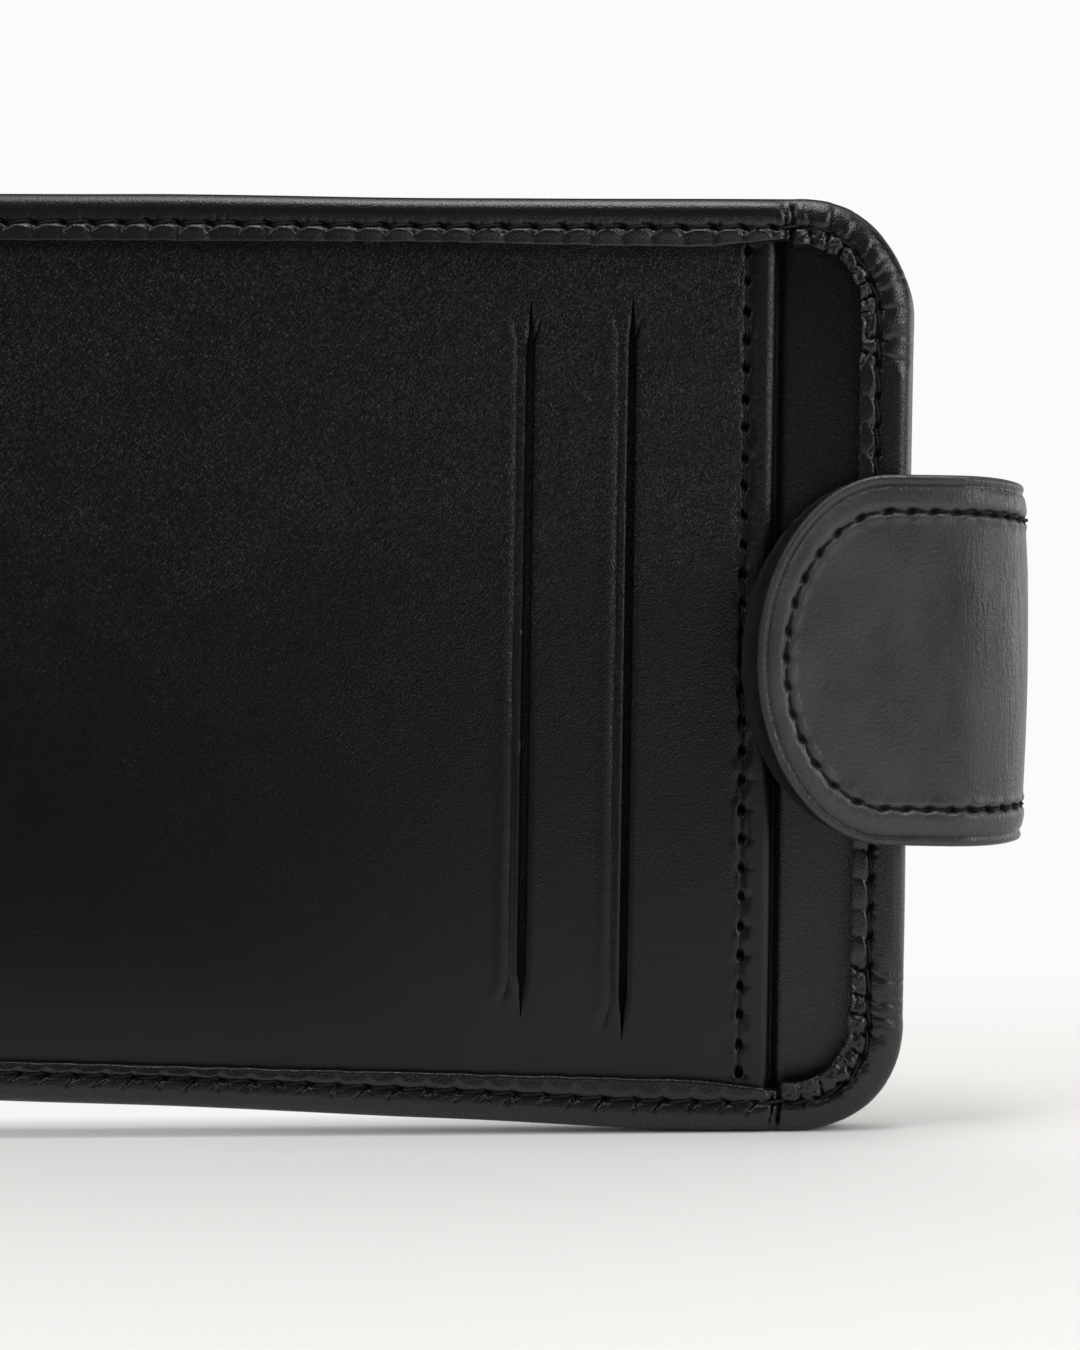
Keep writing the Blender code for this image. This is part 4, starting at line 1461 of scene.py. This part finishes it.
def strap(outer_material, lining_material, thread):
    """Both leathers of the strap, stretch by stretch, with the stitches of the outer one."""
    lining_extra = strap_tip_low.x - lining_tip_low.x
    lining_depth = strap_outer_thickness + strap_layer_gap
    lining_half_width = strap_half_width - lining_side_inset
    layers = (
        ("outer", strap_half_width, 0.0, 0.0, strap_outer_thickness),
        ("lining", lining_half_width, lining_extra, lining_depth, strap_lining_thickness),
    )
    looks = {"outer": (outer_material, "strap_leather"), "lining": (lining_material, "strap_back_leather")}
    sewn = {"tip": ["strap_tip_stitching"], "base": ["strap_base_stitching"]}
    for layer, half_width, extra, depth, thickness in layers:
        for name, bodies, hinge, rows in strap_stretches(half_width, extra):
            unrolled, height, distance = strap_grid(rows)
            wander = np.zeros(distance.shape)
            if layer == "outer":
                holes = stretch_holes(rows)
                relief = strap_surface(unrolled, height, distance, rows, holes)
                shape = strap_shape(unrolled, height, distance, rows)
                stitches = strap_stitches(name, rows, holes)
                settle(stitches, thread, "black_thread", sewn.get(name, []), bodies, hinge)
            else:
                relief = lining_surface(unrolled, height, distance)
                shape = 0.0
                wander = ripples(unrolled, height, lining_edge_wander)
                wander = wander * (1.0 - smoothstep(*lining_edge_wander_fall, distance))
            way = rows.inwards[:, None, :] * wander[:, :, None]
            outer = strap_place(unrolled + way[..., 0], height + way[..., 1], depth - relief - shape)[0]
            inner = strap_place(unrolled, height, depth + thickness)[0]
            count, columns = relief.shape
            numbers = np.arange(relief.size).reshape(relief.shape)
            second_half = np.arange(count) > (count - 1) / 2
            numbers[second_half, -1] = numbers[::-1, -1][second_half]
            faces = grid_faces(count, columns)
            if rows.break_row is not None:
                faces = faces[faces[:, 0] // columns != rows.break_row]
            faces = numbers.reshape(-1)[faces]
            # Painted shade: the outer leather's rim round the tip and the base is made darker in colour and
            # shine
            painted_rim_shade = strap_rim_painted_shade * (1.0 - smoothstep(*strap_rim_fall, distance)) * rows.at_end[:, None]
            shown = relief - relief_range * painted_rim_shade
            piece = solid_sheet(f"strap_{layer}_leather_{name}", outer, inner, faces, shown)
            node = f"strap_{layer}_{name}"
            settle(piece, *looks[layer], [node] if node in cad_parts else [], bodies, hinge)


# Stage, light and camera

def floor_material():
    """Pale table that fades to white for camera rays away from the object, and with painted light behind its
    left end.
    """
    nodes = new_material("pale_floor")
    grain = nodes.noise(floor_grain_size, detail=2.0)
    material = nodes.finish(nodes.tint(grain, (0.800, 0.800, 0.783), (0.820, 0.820, 0.806)), 0.80, shine=0.0)
    place = nodes.add("TexCoord", output="Object")
    centre = nodes.add("VectorMath", {0: place}, "Value", operation="LENGTH")
    behind = nodes.axis("Y").mapped(*white_behind)
    # Painted light: the floor just behind the wallet's left end turns white as well
    pale = nodes.axis("Y").mapped(*painted_light_left_depths, 0.0, painted_light_left_share)
    pale = pale * nodes.axis("X").mapped(*painted_light_left_places)
    far = behind.sum("MAXIMUM", pale).sum("MAXIMUM", centre.mapped(*white_around))
    share = far * nodes.ray_share("Is Camera Ray", "Is Glossy Ray", "Is Transmission Ray")
    white = nodes.add("Emission", {"Color": (1.0, 1.0, 0.985, 1.0), "Strength": background_level})
    plain = Value(nodes, nodes.tree.nodes["Principled BSDF"].outputs[0])
    both = nodes.add("MixShader", {0: share, 1: plain, 2: white})
    nodes.feed(nodes.tree.nodes["Material Output"].inputs["Surface"], both)
    return material


def stage_plane(name, material, **settings):
    """A flat square of the stage."""
    bpy.ops.mesh.primitive_plane_add(**settings)
    plane = bpy.context.object
    plane.name = name
    plane.data.materials.append(material)
    return plane


def floor(outline):
    """The table, tipped a little, so that the wallet touches it near its right end as in the photograph."""
    lowest = (outline[:, 1] - outline[:, 0] * math.tan(floor_tip)).min()
    place = (0.0, 0.0, lowest - floor_gap)
    plane = stage_plane("stage_floor", floor_material(), size=floor_size, location=place)
    plane.rotation_euler = (0.0, -floor_tip, 0.0)


def reflected_card(name, centre, size, facing, glow):
    """A card that only mirror-like rays see, so that the leather has something dark or pale to reflect."""
    nodes = new_material(name)
    nodes.tree.nodes.remove(nodes.tree.nodes["Principled BSDF"])
    light = nodes.add("Emission", {"Color": (1.0, 1.0, 1.0, 1.0), "Strength": glow})
    nodes.feed(nodes.tree.nodes["Material Output"].inputs["Surface"], light)
    card = stage_plane(name, nodes.owner, size=1.0, location=centre)
    card.scale = (*size, 1.0)
    card.rotation_euler = Vector(facing).to_track_quat("Z", "Y").to_euler()
    for kind in ("camera", "diffuse", "shadow", "transmission", "volume_scatter"):
        setattr(card, f"visible_{kind}", False)


def softbox(name, place, size, radiance):
    """A rectangular lamp that faces the middle of the stage."""
    data = bpy.data.lights.new(name, "AREA")
    data.shape = "RECTANGLE"
    data.size, data.size_y = size
    data.energy = radiance * math.pi * size[0] * size[1]
    lamp = bpy.data.objects.new(name, data)
    lamp.location = place
    lamp.rotation_euler = Vector(place).to_track_quat("Z", "Y").to_euler()
    lamp.visible_camera = False
    bpy.context.scene.collection.objects.link(lamp)


def room():
    """The light from all around. Camera rays and mirror-like rays see the plain background instead."""
    world = bpy.data.worlds.new("studio")
    bpy.context.scene.world = world
    nodes = Nodes(world)
    seen = nodes.ray_share("Is Camera Ray", "Is Glossy Ray", "Is Transmission Ray")
    way = nodes.add("TexCoord", output="Generated")
    level = nodes.axis("Z", way).mapped(0.0, 1.0, *room_light_upward)
    depthwise = nodes.axis("Y", way).mapped(-1.0, 1.0, *room_light_depthwise)
    sideways = nodes.axis("X", way).mapped(-1.0, 1.0, *room_light_sideways)
    level = level * (depthwise * sideways)
    background = nodes.tree.nodes["Background"]
    nodes.feed(background.inputs["Strength"], seen * (level * -1.0 + background_level) + level)
    background.inputs["Color"].default_value = (1.0, 1.0, 0.99, 1.0)
    bpy.context.scene.view_settings.view_transform = "Standard"


def camera():
    data = bpy.data.cameras.new("camera")
    data.sensor_width = sensor_size
    data.sensor_height = sensor_size
    data.lens = camera_focal_pixels * sensor_size / image_height
    data.clip_start = nearest_seen
    data.clip_end = farthest_seen
    level = math.cos(camera_pitch)
    forward = Vector((math.sin(camera_yaw) * level, math.cos(camera_yaw) * level, -math.sin(camera_pitch)))
    level_right = Vector((math.cos(camera_yaw), -math.sin(camera_yaw), 0.0))
    level_up = level_right.cross(forward)
    right = level_right * math.cos(camera_roll) + level_up * math.sin(camera_roll)
    up = level_up * math.cos(camera_roll) - level_right * math.sin(camera_roll)
    turned = Matrix((right, up, -forward)).transposed().to_4x4()
    viewer = bpy.data.objects.new("camera", data)
    viewer.matrix_world = Matrix.Translation(camera_place) @ turned
    bpy.context.scene.collection.objects.link(viewer)
    bpy.context.scene.camera = viewer


def repaint(node, material):
    """A solid that stays as it is takes its detailed material."""
    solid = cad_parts[node]
    solid.data.materials.clear()
    solid.data.materials.append(material)


def build():
    """All pieces of the wallet. Returns the places of the cover's points, seen from the front."""
    cover_leather = pebbled_leather(
        "cover_leather", levels=(0.0030, 0.0085), roughness=(0.34, 0.22), grain_height=0.000012, shine=0.50
    )
    panel_leather = pebbled_leather(
        "panel_leather",
        levels=(0.0013, 0.0040),
        roughness=(0.36, 0.26),
        grain_height=0.000033,
        shine=0.38,
        worn_heights=(0.020, 0.062),
    )
    inner_leather = pebbled_leather(
        "inner_leather", levels=(0.0040, 0.0070), roughness=(0.32, 0.24), grain_height=0.00001, shine=0.50
    )
    strap_leather = smooth_leather(
        "strap_leather", levels=(0.016, 0.046), roughness=(0.28, 0.40), streak_height=0.00004, shine=0.50
    )
    strap_back = raw_leather("strap_back_leather")
    thread = thread_material("black_thread")
    lining = woven_lining("lining_fabric")
    loop, outline = cover(cover_leather)
    edge_stitches(loop, thread)
    front_panel(panel_leather)
    hem_stitches(thread)
    inner_layers(inner_leather, lining)
    strap(strap_leather, strap_back, thread)
    steel = plated_steel("plated_steel")
    repaint("stiffener_board", fibre_board("pressed_board"))
    repaint("keeper_plate", steel)
    repaint("strap_magnet", steel)
    return outline


floor(build())
for softbox_values in softboxes:
    softbox(*softbox_values)
for card_values in cards:
    reflected_card(*card_values)
room()
camera()
